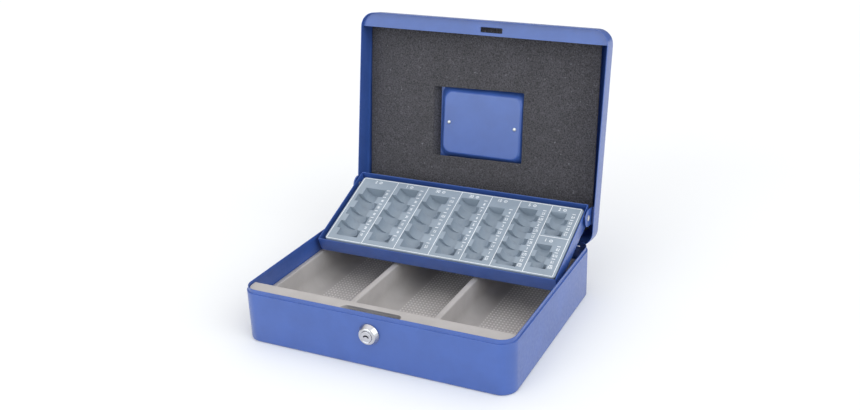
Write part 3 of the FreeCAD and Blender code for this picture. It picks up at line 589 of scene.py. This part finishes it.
def compartment_insert():
    """Moulded insert: three scooped bays, the ledge with its notch, and a skirt below the notch."""
    x_lines = [side * (INSERT_HALF - inset) for side in (-1, 1) for inset in (0.0, 0.3, 0.9)]
    for left, right in BAYS:
        x_lines += wall_lines(left, 1, LIP, SCOOP) + wall_lines(right, -1, LIP, COVE)
        x_lines += list(np.linspace(left + SCOOP + 6, right - 8, 6))
    y_lines = [BAY_FRONT - LIP, BAY_FRONT - LEDGE_LIP]
    y_lines += [INSERT_REAR - inset for inset in (0.0, 0.3, 1.0)]
    y_lines += wall_lines(BAY_FRONT, 1, LEDGE_LIP, COVE) + wall_lines(BAY_REAR, -1, LIP, COVE)
    y_lines += list(np.linspace(BAY_FRONT + 12, BAY_REAR - 12, 14))
    x_lines, y_lines = (np.unique(np.round(lines, 3)) for lines in (x_lines, y_lines))
    grid_x, grid_y = np.meshgrid(x_lines, y_lines, indexing="ij")
    points = [*insert_outline(grid_x, grid_y), insert_height(grid_x, grid_y)]
    meshes = [to_mesh(np.stack(points, axis=-1).reshape(-1, 3), grid_faces(*grid_x.shape)[1])]

    half = INSERT_HALF - 1.6
    rear = BAY_FRONT + 0.1
    ledge = rounded_path([
        (-half, LEDGE_FRONT, 14.2), (NOTCH_LEFT, LEDGE_FRONT, 2.0), (NOTCH_LEFT, NOTCH_REAR, 6.5),
        (NOTCH_RIGHT, NOTCH_REAR, 6.5), (NOTCH_RIGHT, LEDGE_FRONT, 2.0), (half, LEDGE_FRONT, 14.2),
        (half, rear, 0.8), (-half, rear, 0.8)], 10, closed=True)
    meshes.append(raised(plate([ledge], LEDGE_GAUGE, 0.85, 5), LEDGE_TOP - LEDGE_GAUGE / 2))

    skirt = notch_side(-0.8, NOTCH_REAR + 0.6, 6.0) + notch_side(0.6, NOTCH_REAR + 2.0, 7.4)[::-1]
    skirt_rings = [[(x, max(y, LEDGE_FRONT + 0.4), z) for x, y in skirt] for z in (44.0, LEDGE_TOP - 1.4)]
    meshes.append(rings_to_mesh(skirt_rings))
    finish_mesh("bay_moulding", join(meshes), "base", INSERT, ["compartment_insert"], 40)


def pips():
    """Low domes in rows on the floors of the bays, all of them in a lighter grey as a painted highlight."""
    verts = []
    faces = []
    sides = 10
    pitch_x, pitch_y = 4.0, 4.9
    base = INSERT_FLOOR - 0.05
    dome = ((1.0, 0.0), (0.95, 0.22), (0.72, 0.42), (0.38, 0.53))
    for (left, right), margin in zip(BAYS, (20.0, 20.0, 18.0)):
        for x in np.arange(left + margin, right - 4.5, pitch_x):
            for y in np.arange(BAY_FRONT + 6, BAY_REAR - 5, pitch_y):
                start = len(verts)
                for radius, lift in dome:
                    verts += [(*place, base + lift) for place in circle(radius, sides, (x, y))]
                for level in range(len(dome) - 1):
                    low = start + level * sides
                    for step in range(sides):
                        after = (step + 1) % sides
                        faces.append((low + step, low + after, low + sides + after, low + sides + step))
                faces.append(tuple(range(len(verts) - sides, len(verts))))
    mesh = bpy.data.meshes.new("pips")
    mesh.from_pydata(verts, [], faces)
    finish_mesh("bay_pips", mesh, "base", PIPS, [], 60)


def lock():
    """Chrome lock head with a rounded, conical face, and the plug with its crescent keyway."""
    bore, barrel, head, back = 6.06, 7.85, 11.4, -6.6
    profile = rounded_path([
        (bore, back, 0), (barrel, back, 0), (barrel, 0, 0), (head, 0, 0), (head, 1.2, 0.8), (8.9, 5.9, 1.6),
        (6.9, 6.45, 0.5), (bore, 6.1, 0.2)] + [(bore, back, 0)], 6)[:-1]
    finish_mesh("lock_head", lathe_ring(profile), "base", CHROME, ["lock_housing"], 30, FRONT)

    radius, rear, face = 5.98, -7.9, 6.95
    plug = rounded_path([(0, rear, 0), (radius, rear, 0), (radius, face, 0.5), (0, face, 0)], 5)[1:-1]
    turns = [math.radians(a) for a in range(12, 169, 6)]
    below = 1.2
    crescent = [(3.5 * math.cos(a), 3.3 * math.sin(a) - below) for a in turns]
    crescent += [(2.1 * math.cos(a), 1.5 * math.sin(a) - below) for a in reversed(turns)]
    keyway = raised(plate([crescent], 12, 0.05, 1), 8)
    finish_mesh("lock_barrel", cut_away(lathe(plug), keyway), "lock", CHROME, ["lock_plug"], 30)


# ---------- lid


def recess_ring(grow, z):
    """The handle recess's outline at its floor, grown outwards; its corners grow less than its sides."""
    half_x, half_y = RECESS_HALF
    ring = box_ring(half_x + grow, half_y + grow, RECESS_RADIUS + grow * 0.3, z)
    return [(x, y + RECESS_CENTRE, z) for x, y, z in ring]


def lid_shell():
    """Drawn lid: open edge, tall rounded walls, flat panel and the sunk handle recess."""
    reach = 24
    middle = 62.0
    under = RECESS_FLOOR - GAUGE
    inner = rounded_path([(reach, PANEL, 0), (GAUGE, PANEL, LID_ROUND - GAUGE), (GAUGE, middle, 0)], 12)
    outer = rounded_path([
        (GAUGE, middle, 0), (GAUGE, LID_EDGE, 0.25), (0, LID_EDGE, 0.35), (0, LID_TOP, LID_ROUND),
        (reach, LID_TOP, 0)], 12)
    walls = inner[1:] + outer[1:-1]
    slope_in = rounded_path([(-6, under, 0), (GAUGE, under, 2.6), (8.0, PANEL, 1.6), (12, PANEL, 0)], 8)[1:-1]
    slope_out = rounded_path([
        (12, LID_TOP, 0), (7.5, LID_TOP, 2.6), (0, RECESS_FLOOR, 1.8), (-6, RECESS_FLOOR, 0)], 8)[1:-1]
    rings = [recess_ring(grow, z) for grow, z in slope_in]
    rings += between(recess_ring(slope_in[-1][0], PANEL), wall_ring(*walls[0]), 4)
    rings += [wall_ring(inset, z) for inset, z in walls]
    rings += between(wall_ring(walls[-1][0], LID_TOP), recess_ring(slope_out[0][0], LID_TOP), 4)
    rings += [recess_ring(grow, z) for grow, z in slope_out]
    finish_mesh("lid_pressing", rings_to_mesh(rings), "lid", PAINT, ["lid_shell"])


def latch_plate():
    """Strip inside the lid's front edge, slotted for the lock's hook, with a leg up the front wall."""
    gauge = 1.0
    level = 60.1
    play = 0.05
    half = HALF_X - GAUGE - play
    front = play + GAUGE - HALF_Y
    rear = -103.7
    leg_half = 131
    outline = rounded_path([
        (-half, front, 16.1), (half, front, 16.1), (half, rear, 0.5), (-half, rear, 0.5)], 12, closed=True)
    slot = rounded_path(rectangle(0.7, 27.0, -112.8, -107.0, 1.2), 4, closed=True)
    strip = raised(plate([outline, slot], gauge, 0.2, 2), level + gauge / 2)
    foot, top = 60.9, 73.0
    back = front + gauge
    leg = rounded_path([
        (front, foot, 0), (front, top, 0.3), (back, top, 0.3), (back, foot, 0)], 3, closed=True)
    parts = [strip, extrude_x(leg, -leg_half, leg_half)]
    finish_mesh("latch_strip", join(parts), "lid", PAINT, ["latch_plate"])


FOAM_SKEW = 1.2
FOAM_FACE = 78.4
FOAM_BACK = PANEL - 0.1
FOAM_EDGES = (-145.6, 139.2, -115.5, 112.0)
FOAM_WINDOW = (-61.5, 50.8, -40.2, 41.4)


def foam_outline(left, right, front, rear, radius):
    """A rounded rectangle as (x, y) points, many along each side, the same number for every size."""
    centres = ((right - radius, rear - radius), (left + radius, rear - radius),
               (left + radius, front + radius), (right - radius, front + radius))
    corners = [arc(centre, radius, 90 * quarter, 90, 8) for quarter, centre in enumerate(centres)]
    ring = []
    for quarter, corner in enumerate(corners):
        following = corners[(quarter + 1) % 4]
        ring += corner
        ring += [point for point, in between(corner[-1:], following[:1], 30)]
    return ring


def shrink(ring, amount):
    """Moves a counter-clockwise ring inwards along its own normals."""
    points = np.array(ring)
    ahead = np.roll(points, -1, axis=0) - np.roll(points, 1, axis=0)
    length = np.linalg.norm(ahead, axis=1, keepdims=True)
    inward = np.stack([-ahead[:, 1], ahead[:, 0]], axis=1) / np.maximum(length, 1e-9)
    return [tuple(point) for point in points + inward * amount]


def foam_uneven(x, y, z):
    """Swells the foam's face here and there, and lets the cut round its window wander."""
    face_zone = 2
    window_zone = (64, 48)
    if z >= FOAM_FACE + face_zone:
        return x, y, z
    near_window = abs(x) < window_zone[0] and abs(y) < window_zone[1]
    swell = 0.5 * noise.noise((x * 0.03, y * 0.03, 3.0)) + 0.22 * noise.noise((x * 0.12, y * 0.12, 8.0))
    drift = 0.35 * noise.noise((x * 0.05, y * 0.05, 21.0)) if near_window else 0.0
    return x + drift, y + drift, z + max(0.0, swell + 0.12)


def foam_pad():
    """Cut foam sheet with a window, a little askew: uneven face, crushed edges and a wandering cut line."""
    crush = 1.2
    taper = 12.3
    nick = 0.9
    window_room = 9.5
    half_x, half_y = (half + window_room for half in RECESS_HALF)
    outer = foam_outline(*FOAM_EDGES, 13.0)
    window = foam_outline(*FOAM_WINDOW, 1.2)
    window_back = foam_outline(-half_x, half_x, RECESS_CENTRE - half_y, RECESS_CENTRE + half_y, 1.2)
    lip = ((0.0, nick), (0.25, 0.35), (0.8, 0.06), (1.6, 0.0))
    rings = []
    for share in (0.0, 0.3, 0.6, 0.85):
        z = FOAM_BACK - (FOAM_BACK - FOAM_FACE - crush) * share
        rings.append([(x, y, z) for x, y in shrink(outer, taper * (1 - share))])
    for inset, depth in lip:
        rings.append([(x, y, FOAM_FACE + depth) for x, y in shrink(outer, inset)])
    face_out, face_in = shrink(outer, lip[-1][0]), shrink(window, -lip[-1][0])
    for ring in between(face_out, face_in, 22):
        rings.append([(x, y, FOAM_FACE) for x, y in ring])
    for inset, depth in reversed(lip):
        rings.append([(x, y, FOAM_FACE + depth) for x, y in shrink(window, -inset)])
    for share in (0.3, 0.65, 1.0):
        z = FOAM_FACE + nick + (FOAM_BACK - FOAM_FACE - nick) * share
        ring = np.array(window) * (1 - share) + np.array(window_back) * share
        rings.append([(x, y, z) for x, y in ring])
    uneven = [[foam_uneven(*point) for point in ring] for ring in rings]
    askew = LID @ Matrix.Rotation(math.radians(-FOAM_SKEW), 4, "Z")
    pad = finish_mesh("foam_lining", rings_to_mesh(uneven, loop=True), "lid", FOAM, ["foam_pad"], 60, askew)


def tray_ears():
    """Bent brackets spot-welded inside the lid's sides."""
    middle = PIVOT_CLOSED[0]
    half_width = 10
    gauge, inner, foot, jog, top = 1.2, 144.8, 60.0, 61.4, 73.8
    wall = HALF_X - GAUGE
    ends = (middle - half_width, middle + half_width)
    outline = arc(PIVOT_CLOSED, half_width, 180, 180, 20) + [(ends[1], 61.0), (ends[0], 61.0)]
    hole = circle(2.05, 24, PIVOT_CLOSED)
    bend = rounded_path([
        (inner, foot, 0), (inner, jog + gauge, 1.5), (wall - gauge, jog + gauge, 0.4),
        (wall - gauge, top, 0.4), (wall, top, 0.4), (wall, jog, 1.5),
        (inner + gauge, jog, 0.4), (inner + gauge, foot, 0)], 4)
    for side, name in SIDES:
        arm = upright(plate([outline, hole], gauge, 0.2, 2), side * (inner + gauge / 2))
        strip = rings_to_mesh([[(side * x, end, height) for x, height in bend] for end in ends])
        finish_mesh(f"tray_bracket_{name}", join([arm, strip]), "lid", PAINT, [f"tray_ear_{name}"])


def rivet(shank, head=0.8, dome=3.0):
    """A domed head on z = 0 with its shank below."""
    turns = [math.radians(a) for a in range(12, 90, 12)]
    curve = [(dome * math.cos(a), head * math.sin(a)) for a in turns]
    return lathe([(RIVET_RADIUS, -shank), (RIVET_RADIUS, 0), (dome, 0), *curve, (0.05, head)], 36)


def rivets():
    """Rivets of the hinge, headed on both faces of wall and leaf, and of the handle."""
    pitch = 55.0
    grip = 1.8
    for body, z in (("base", 43.3), ("lid", 64.5)):
        parts = []
        for step in range(-2, 3):
            for y, turn in ((HALF_Y, -math.pi / 2), (HALF_Y - grip, math.pi / 2)):
                stand = Matrix.Translation((step * pitch, y, z)) @ Matrix.Rotation(turn, 4, "X")
                parts.append(moved(rivet(grip / 2), stand))
        finish_mesh(f"hinge_rivets_{body}_domed", join(parts), body, ZINC, [f"hinge_rivets_{body}"], 30)
    parts = []
    for x in (-SADDLE_X, SADDLE_X):
        under = Matrix.Translation((x, RECESS_CENTRE, RECESS_FLOOR - GAUGE))
        parts.append(moved(rivet(2.2, 0.75, 2.15), under @ Matrix.Rotation(math.pi, 4, "X")))
    finish_mesh("handle_rivets_domed", join(parts), "lid", ZINC, ["handle_rivets"], 30)


def handle():
    """Rod handle with smooth bends, and the strap saddles that hold it."""
    end, half, reach = 46.1, 34, 31
    path = rounded_path([
        (-end, 0, 0), (-half, 0, 3.5), (-half, reach, 7), (half, reach, 7), (half, 0, 3.5), (end, 0, 0)], 12)
    rod = tube([(x, y, 0) for x, y in path], 2.5)
    finish_mesh("handle_rod", rod, "handle", CHROME, ["handle_bail"], 50)

    depth, foot, top = 5.45, RECESS_FLOOR + 0.05, 87.95
    arch = rounded_path([(-depth, foot, 0.6), (-depth, top, 3.6), (depth, top, 3.6), (depth, foot, 0.6)], 10,
                        closed=True)
    outline = [(y + RECESS_CENTRE, height) for y, height in arch]
    hole = circle(2.58, 40, (RECESS_CENTRE, HANDLE_LEVEL))
    for side, name in SIDES:
        block = upright(plate([outline, hole], 7.9, 0.5, 3), side * SADDLE_X)
        finish_mesh(f"saddle_{name}", block, "lid", CHROME, [f"handle_saddle_{name}"])


# ---------- tray, drawn about its pivot

TRAY_TOP = 8.8
TRAY_FOOT = -10.1
TRAY_REAR = 12.0
TRAY_FRONT = -103.6


def fold(outside, inward, foot):
    """Cross-section of one wall and a strip of the floor; outside is the wall's outer face."""
    inside = outside + inward * GAUGE
    reach = outside + inward * 30
    return rounded_path([
        (outside, TRAY_TOP, 0.38), (outside, foot, 2 * GAUGE), (reach, foot, 0), (reach, foot + GAUGE, 0),
        (inside, foot + GAUGE, GAUGE), (inside, TRAY_TOP, 0.38)], 5, closed=True)


def tray_pan():
    """Folded sheet: floor and four walls that do not quite meet at the corners."""
    seam = 1.5
    parts = []
    for outside, inward in ((TRAY_FRONT, 1), (TRAY_REAR, -1)):
        parts.append(extrude_x(fold(outside, inward, TRAY_FOOT), -TRAY_HALF, TRAY_HALF))
    for side in (-1, 1):
        section = fold(side * TRAY_HALF, -side, TRAY_FOOT + 0.02)
        ends = (TRAY_FRONT + seam, TRAY_REAR - seam)
        parts.append(rings_to_mesh([[(x, y, z) for x, z in section] for y in ends]))
    margin = 20
    half = TRAY_HALF - margin
    floor = rounded_path(rectangle(-half, half, TRAY_FRONT + margin, TRAY_REAR - margin, 0))
    parts.append(raised(plate([floor], GAUGE - 0.04, 0.05, 1), TRAY_FOOT + GAUGE / 2))
    finish_mesh("tray_folded", join(parts), "tray", PAINT, ["tray_pan"])


# distances along the tray, called s below, run from its rear wall to the front
PLATE_TOP = 9.4
PLATE_REAR = 8.2
PLATE_FRONT = 113.6
PLATE_MARGIN = 3.0
WELL_WALL = 0.07
# a column of wells: left edge and width of a well, sideways step of every second one, start and pitch
# along s, number of wells, whether the first is a stepped one, end of the last, and x of its sums
Column = namedtuple("Column", "left width step start pitch count stepped last sums")
COLUMNS = (
    Column(-124.0, 26.2, 5.0, 25.7, 11.4, 7, False, 105.0, -94.7),
    Column(-82.2, 24.4, 4.9, 18.0, 12.5, 7, False, 105.3, -54.5),
    Column(-41.9, 24.8, 5.2, 21.4, 12.3, 7, False, 106.6, -12.6),
    Column(1.2, 22.6, 4.2, 18.5, 11.2, 8, True, 107.0, 27.0),
    Column(37.3, 19.9, 3.8, 26.0, 10.55, 8, True, 107.0, 60.3),
    Column(72.6, 22.6, 4.6, 20.0, 9.1, 10, True, 107.0, 98.4),
    Column(109.5, 19.3, 4.2, 19.2, 9.3, 4, True, 54.6, 132.4),
    Column(110.4, 17.4, 4.0, 69.5, 9.3, 4, True, 103.4, 131.4),
)
# each column's coin and what five of them are worth
COINS = (("2", 10), ("1", 5), ("50", 2.5), ("20", 1), ("10", 0.5), ("5", 0.25), ("2", 0.1), ("1", 0.05))
COLUMN_LINES = (-133.4, -88.1, -48.0, -5.2, 32.5, 67.5, 105.0, 138.4)


def column_wells(column):
    """The (centre x, radius, rear s, front s) of each well in a column."""
    radius = column.width / 2
    wells = []
    for index in range(column.count):
        shift = column.step if (index % 2 == 0) == column.stepped else 0.0
        rear = column.start + index * column.pitch
        wells.append((column.left - shift + radius, radius, rear, min(rear + column.pitch, column.last)))
    return wells


def well_depth(distance, radius):
    """Depth of a half-round well at a distance from its middle, with a small rounded lip."""
    round_part = np.sqrt(np.maximum(radius ** 2 - distance ** 2, 0))
    lip = 0.3 * np.clip(1 - (distance - radius) / 0.5, 0, 1) ** 2
    return np.maximum(round_part, np.where(distance >= radius, lip, 0))


def plate_lines():
    """Grid lines across and along the counting plate, close together where a well's edge needs them."""
    x_lines = [PLATE_LEFT + PLATE_MARGIN, PLATE_RIGHT - PLATE_MARGIN]
    s_lines = [PLATE_REAR + PLATE_MARGIN, PLATE_FRONT - PLATE_MARGIN]
    for column in COLUMNS:
        wells = column_wells(column)
        for centre, radius, start, end in wells[:2]:
            spokes = [radius * math.sin(math.radians(a)) for a in (0, 12, 24, 36, 48, 58, 67, 75, 82, 87, 90)]
            spokes += [radius + 0.17, radius + 0.5]
            x_lines += [centre + side * spoke for spoke in spokes for side in (-1, 1)]
        for centre, radius, start, end in wells:
            s_lines += [edge + nudge for edge in (start, end) for nudge in (-0.4, -WELL_WALL, WELL_WALL, 0.4)]
    return np.unique(np.round(x_lines, 2)), np.unique(np.round(s_lines, 2))


def coin_plate():
    """Counting plate: half-round wells stepped left and right, each as long as five coins."""
    x_lines, s_lines = plate_lines()
    grid_x, grid_s = np.meshgrid(x_lines, s_lines, indexing="ij")
    depth = np.zeros(grid_x.shape)
    for column in COLUMNS:
        wells = column_wells(column)
        for centre, radius, start, end in wells:
            inside = (grid_s >= start) & (grid_s <= end)
            depth = np.where(inside, np.maximum(depth, well_depth(np.abs(grid_x - centre), radius)), depth)
        low = min(centre - radius for centre, radius, start, end in wells) - 1
        high = max(centre + radius for centre, radius, start, end in wells) + 1
        across = (x_lines > low) & (x_lines < high)
        for edge in sorted({round(value, 4) for well in wells for value in well[2:]}):
            before, after = (np.argmin(np.abs(s_lines - edge - nudge)) for nudge in (-WELL_WALL, WELL_WALL))
            change = depth[across, after] - depth[across, before]
            depth[across, before] += np.clip(change * 0.45, 0, 0.3)
            depth[across, after] += np.clip(-change * 0.45, 0, 0.3)
    verts = np.stack([grid_x, TRAY_REAR - grid_s, PLATE_TOP - depth], axis=-1).reshape(-1, 3).tolist()
    index, faces = grid_faces(*grid_x.shape)
    border = [*index[:, 0], *index[-1, 1:], *index[-2::-1, -1], *index[0, -2:0:-1]]
    skirt_border(verts, faces, border)
    finish_mesh("counting_plate", to_mesh(verts, faces, 1e-3), "tray", PLATE, ["coin_plate"], 38)


def plate_outline(verts, border):
    """The plate's rounded outline, clockwise, and the border point that each of its points belongs to."""
    radius = 4.0
    corner = radius - PLATE_MARGIN
    low, high = TRAY_REAR - PLATE_FRONT, TRAY_REAR - PLATE_REAR
    outer = []
    owners = []
    for place in border:
        x, y = verts[place][:2]
        side_x = -1 if x < 0 else 1
        side_y = -1 if y < (low + high) / 2 else 1
        edge_x = PLATE_LEFT if side_x < 0 else PLATE_RIGHT
        edge_y = low if side_y < 0 else high
        on_x, on_y = (abs(edge - at) <= PLATE_MARGIN + 0.001 for edge, at in ((edge_x, x), (edge_y, y)))
        if on_x and on_y:
            start = math.degrees(math.atan2(side_y, side_x)) + 45
            points = arc((x - side_x * corner, y - side_y * corner), radius, start, -90, 8)
        elif on_x:
            points = [(edge_x, y)]
        else:
            points = [(x, edge_y)]
        outer += points
        owners += [place] * len(points)
    return outer, owners


def skirt_border(verts, faces, border):
    """Carries the grid's border out to the plate's rounded outline, over its lip and down its skirt."""
    outer, owners = plate_outline(verts, border)
    lip = 0.9
    turns = [math.radians(a) for a in (0, 22, 45, 67, 90)]
    levels = [(lip * (1 - math.sin(a)), -lip * (1 - math.cos(a))) for a in turns]
    levels += [(0.0, -2.1), (2.9, -2.3), (3.0, TRAY_FOOT + GAUGE + 0.1 - PLATE_TOP)]
    rows = []
    for inset, drop in levels:
        rows.append(len(verts))
        verts += [(x, y, PLATE_TOP + drop) for x, y in shrink(outer, -inset)]
    count = len(outer)
    for index in range(count):
        after = (index + 1) % count
        if owners[index] == owners[after]:
            faces.append((owners[index], rows[0] + index, rows[0] + after))
        else:
            faces.append((owners[index], rows[0] + index, rows[0] + after, owners[after]))
        for upper, lower in zip(rows, rows[1:]):
            faces.append((upper + index, lower + index, lower + after, upper + after))


def text_mesh(characters, size, x, s, stretch, weight):
    """Numerals that read from the tray's front; weight thickens their strokes."""
    curve = bpy.data.curves.new("numerals", "FONT")
    curve.body = characters
    curve.size = size
    curve.offset = weight
    curve.align_x = "CENTER"
    curve.align_y = "CENTER"
    curve.extrude = 0.01
    mesh = evaluated(placed("numerals", curve))
    return moved(mesh, Matrix.Translation((x, TRAY_REAR - s, 0)) @ Matrix.Diagonal((stretch, 1, 1, 1)))


def stripe(x0, x1, s0, s1):
    """A flat printed bar."""
    corners = rounded_path(rectangle(x0, x1, TRAY_REAR - s1, TRAY_REAR - s0, 0))
    return to_mesh([(x, y, 0.01) for x, y in corners], [(0, 1, 2, 3)])


def coin_sign(x, s):
    """A coin printed as a ring with a bar in it."""
    outer, inner, steps = 2.0, 1.35, 28
    half_width, half_length = 0.28, 0.95
    ring = plate([circle(outer, steps), circle(inner, steps)], 0.03, 0.005, 0)
    bar = stripe(x - half_width, x + half_width, s - half_length, s + half_length)
    return [moved(ring, Matrix.Translation((x, TRAY_REAR - s, 0))), bar]


def printed_marks():
    """White print on the plate: border, column lines, each column's coin and the sum beside each well."""
    left, right, rear, front = COLUMN_LINES[0], COLUMN_LINES[-1], 10.0, 112.0
    rear_label, middle_label = 14.6, 63.2
    coin_size, sum_size = 6.2, 4.9
    half = 0.375
    parts = [stripe(x - half, x + half, rear - 0.1, front + 0.2) for x in COLUMN_LINES]
    parts += [stripe(left, right, s - half, s + half) for s in (rear, front)]
    parts.append(stripe(COLUMN_LINES[-2], right, 56.9, 57.6))
    for column, (coin, worth) in zip(COLUMNS, COINS):
        wells = column_wells(column)
        middle = (wells[0][0] + wells[1][0]) / 2
        label_s = rear_label if column.start < middle_label else middle_label
        parts.append(text_mesh(coin, coin_size, middle - 2.6, label_s, 0.86, 0.10))
        parts += coin_sign(middle + 2.4 + 1.2 * len(coin), label_s)
        for number, (centre, radius, start, end) in enumerate(wells):
            parts.append(stripe(column.sums - 1.6, column.sums + 2.3, start - 0.45, start + 0.45))
            label = f"{worth * (len(wells) - number):g}"
            stretch = 0.95 if len(label) < 2 else 0.62
            middle_s = (start + end) / 2 + 0.1
            parts.append(text_mesh(label, sum_size, column.sums + 0.5, middle_s, stretch, 0.12))
    finish_mesh("printed_marks", raised(join(parts), PLATE_TOP + 0.02), "tray", INK, [])


def tray_pivots():
    """Pivot pins with domed heads, and their washers."""
    shank, head, dome, tip = 1.98, 3.55, 0.85, 0.05
    inner_end, inner, outer, outer_end = 140.2, 142.0, 146.15, 147.0
    inner_turns = [math.radians(a) for a in (20, 40, 60, 80, 90)]
    outer_turns = [math.radians(a) for a in (10, 30, 50, 70)]
    profile = [(tip, inner_end)]
    profile += [(head * math.sin(a), inner - dome * math.cos(a)) for a in inner_turns]
    profile += [(head, inner), (shank, inner), (shank, outer), (head, outer)]
    profile += [(head * math.cos(a), outer + dome * math.sin(a)) for a in outer_turns]
    profile += [(tip, outer_end)]
    bore, edge, near, far = 2.02, 4.45, 142.85, 144.6
    washer = rounded_path([
        (bore, near, 0), (edge, near, 0.3), (edge, far, 0.3), (bore, far, 0)], 3, closed=True)
    for side, name in SIDES:
        outward = Matrix.Rotation(side * math.pi / 2, 4, "Y")
        pin = moved(lathe(profile, 40), outward)
        finish_mesh(f"pivot_pin_{name}", pin, "tray", ZINC, [f"tray_pin_{name}"])
        ring = moved(lathe_ring(washer, 48), outward)
        finish_mesh(f"pivot_washer_{name}", ring, "tray", ZINC, [f"tray_washer_{name}"])


# ---------- CAD pieces that stay


def carried_over():
    """Hinge, nut, cam and screw keep their CAD shape and get their own finish."""
    looks = {"hinge_leaf_base": PAINT, "hinge_leaf_lid": PAINT, "hinge_pin": ZINC, "lock_nut": ZINC,
             "lock_cam": ZINC, "cam_screw": ZINC}
    for name, look in looks.items():
        smooth(frame["nodes"][name].data, look, 30)


# ---------- stage, light and camera


def stage():
    """A wide pale floor, 12 metres across."""
    reach = 6.0
    mesh = bpy.data.meshes.new("floor")
    mesh.from_pydata([(-reach, -reach, 0), (reach, -reach, 0), (reach, reach, 0), (-reach, reach, 0)], [],
                     [(0, 1, 2, 3)])
    mesh.materials.append(material("pale_floor", (0.90, 0.90, 0.91), 0.7)[0])
    floor = placed("floor", mesh)


def lights():
    """A sky that darkens towards the horizon but shows white to the camera, and two broad suns."""
    world = bpy.data.worlds.new("studio")
    world.use_nodes = True
    tree = world.node_tree
    place = node(tree, "ShaderNodeTexCoord")
    split = node(tree, "ShaderNodeSeparateXYZ")
    fade = node(tree, "ShaderNodeMapRange")
    for key, setting in (("From Min", 0.0), ("From Max", 1.0), ("To Min", 0.04), ("To Max", 1.34)):
        fade.inputs[key].default_value = setting
    tree.links.new(place.outputs["Generated"], split.inputs["Vector"])
    tree.links.new(split.outputs["Z"], fade.inputs["Value"])
    sight = node(tree, "ShaderNodeLightPath")
    seen = node(tree, "ShaderNodeMath", operation="MAXIMUM")
    tree.links.new(fade.outputs["Result"], seen.inputs[0])
    tree.links.new(sight.outputs["Is Camera Ray"], seen.inputs[1])
    background = tree.nodes["Background"]
    background.inputs["Color"].default_value = (1, 1, 1, 1)
    tree.links.new(seen.outputs["Value"], background.inputs["Strength"])
    bpy.context.scene.world = world
    for name, direction, angle, energy in (("front_key", (-0.33, -0.91, 0.20), 45, 1.22),
                                           ("right_key", (0.82, -0.32, 0.48), 60, 1.35)):
        light = bpy.data.lights.new(name, "SUN")
        light.angle = math.radians(angle)
        light.energy = energy
        light.color = (0.93, 1.0, 1.0)
        made = placed(name, light)
        made.rotation_euler = Vector(direction).to_track_quat("Z", "Y").to_euler()
    bpy.context.scene.view_settings.view_transform = "Standard"


def camera():
    """Camera set by its bearing, height angle and roll, and its place in metres."""
    bearing = math.radians(24.11)
    height = math.radians(22.88)
    roll = math.radians(-1.06)
    place = Vector((0.4466, -0.8618, 0.5269))
    level = math.cos(height)
    back = Vector((math.sin(bearing) * level, -math.cos(bearing) * level, math.sin(height)))
    right = Vector((math.cos(bearing), math.sin(bearing), 0))
    up = back.cross(right)
    side = math.cos(roll) * right + math.sin(roll) * up
    top = -math.sin(roll) * right + math.cos(roll) * up
    lens = bpy.data.cameras.new("camera")
    lens.sensor_width = 36.0
    lens.lens = 42.07
    lens.shift_x = -0.0513
    lens.shift_y = 0.0094
    made = placed("camera", lens)
    made.matrix_world = Matrix.Translation(place) @ Matrix((side, top, back)).transposed().to_4x4()
    bpy.context.scene.camera = made


for make in (camera, lights, stage, base_shell, compartment_insert, pips, lock, lid_shell, latch_plate,
             foam_pad, tray_ears, rivets, handle, tray_pan, coin_plate, printed_marks, tray_pivots,
             carried_over):
    make()
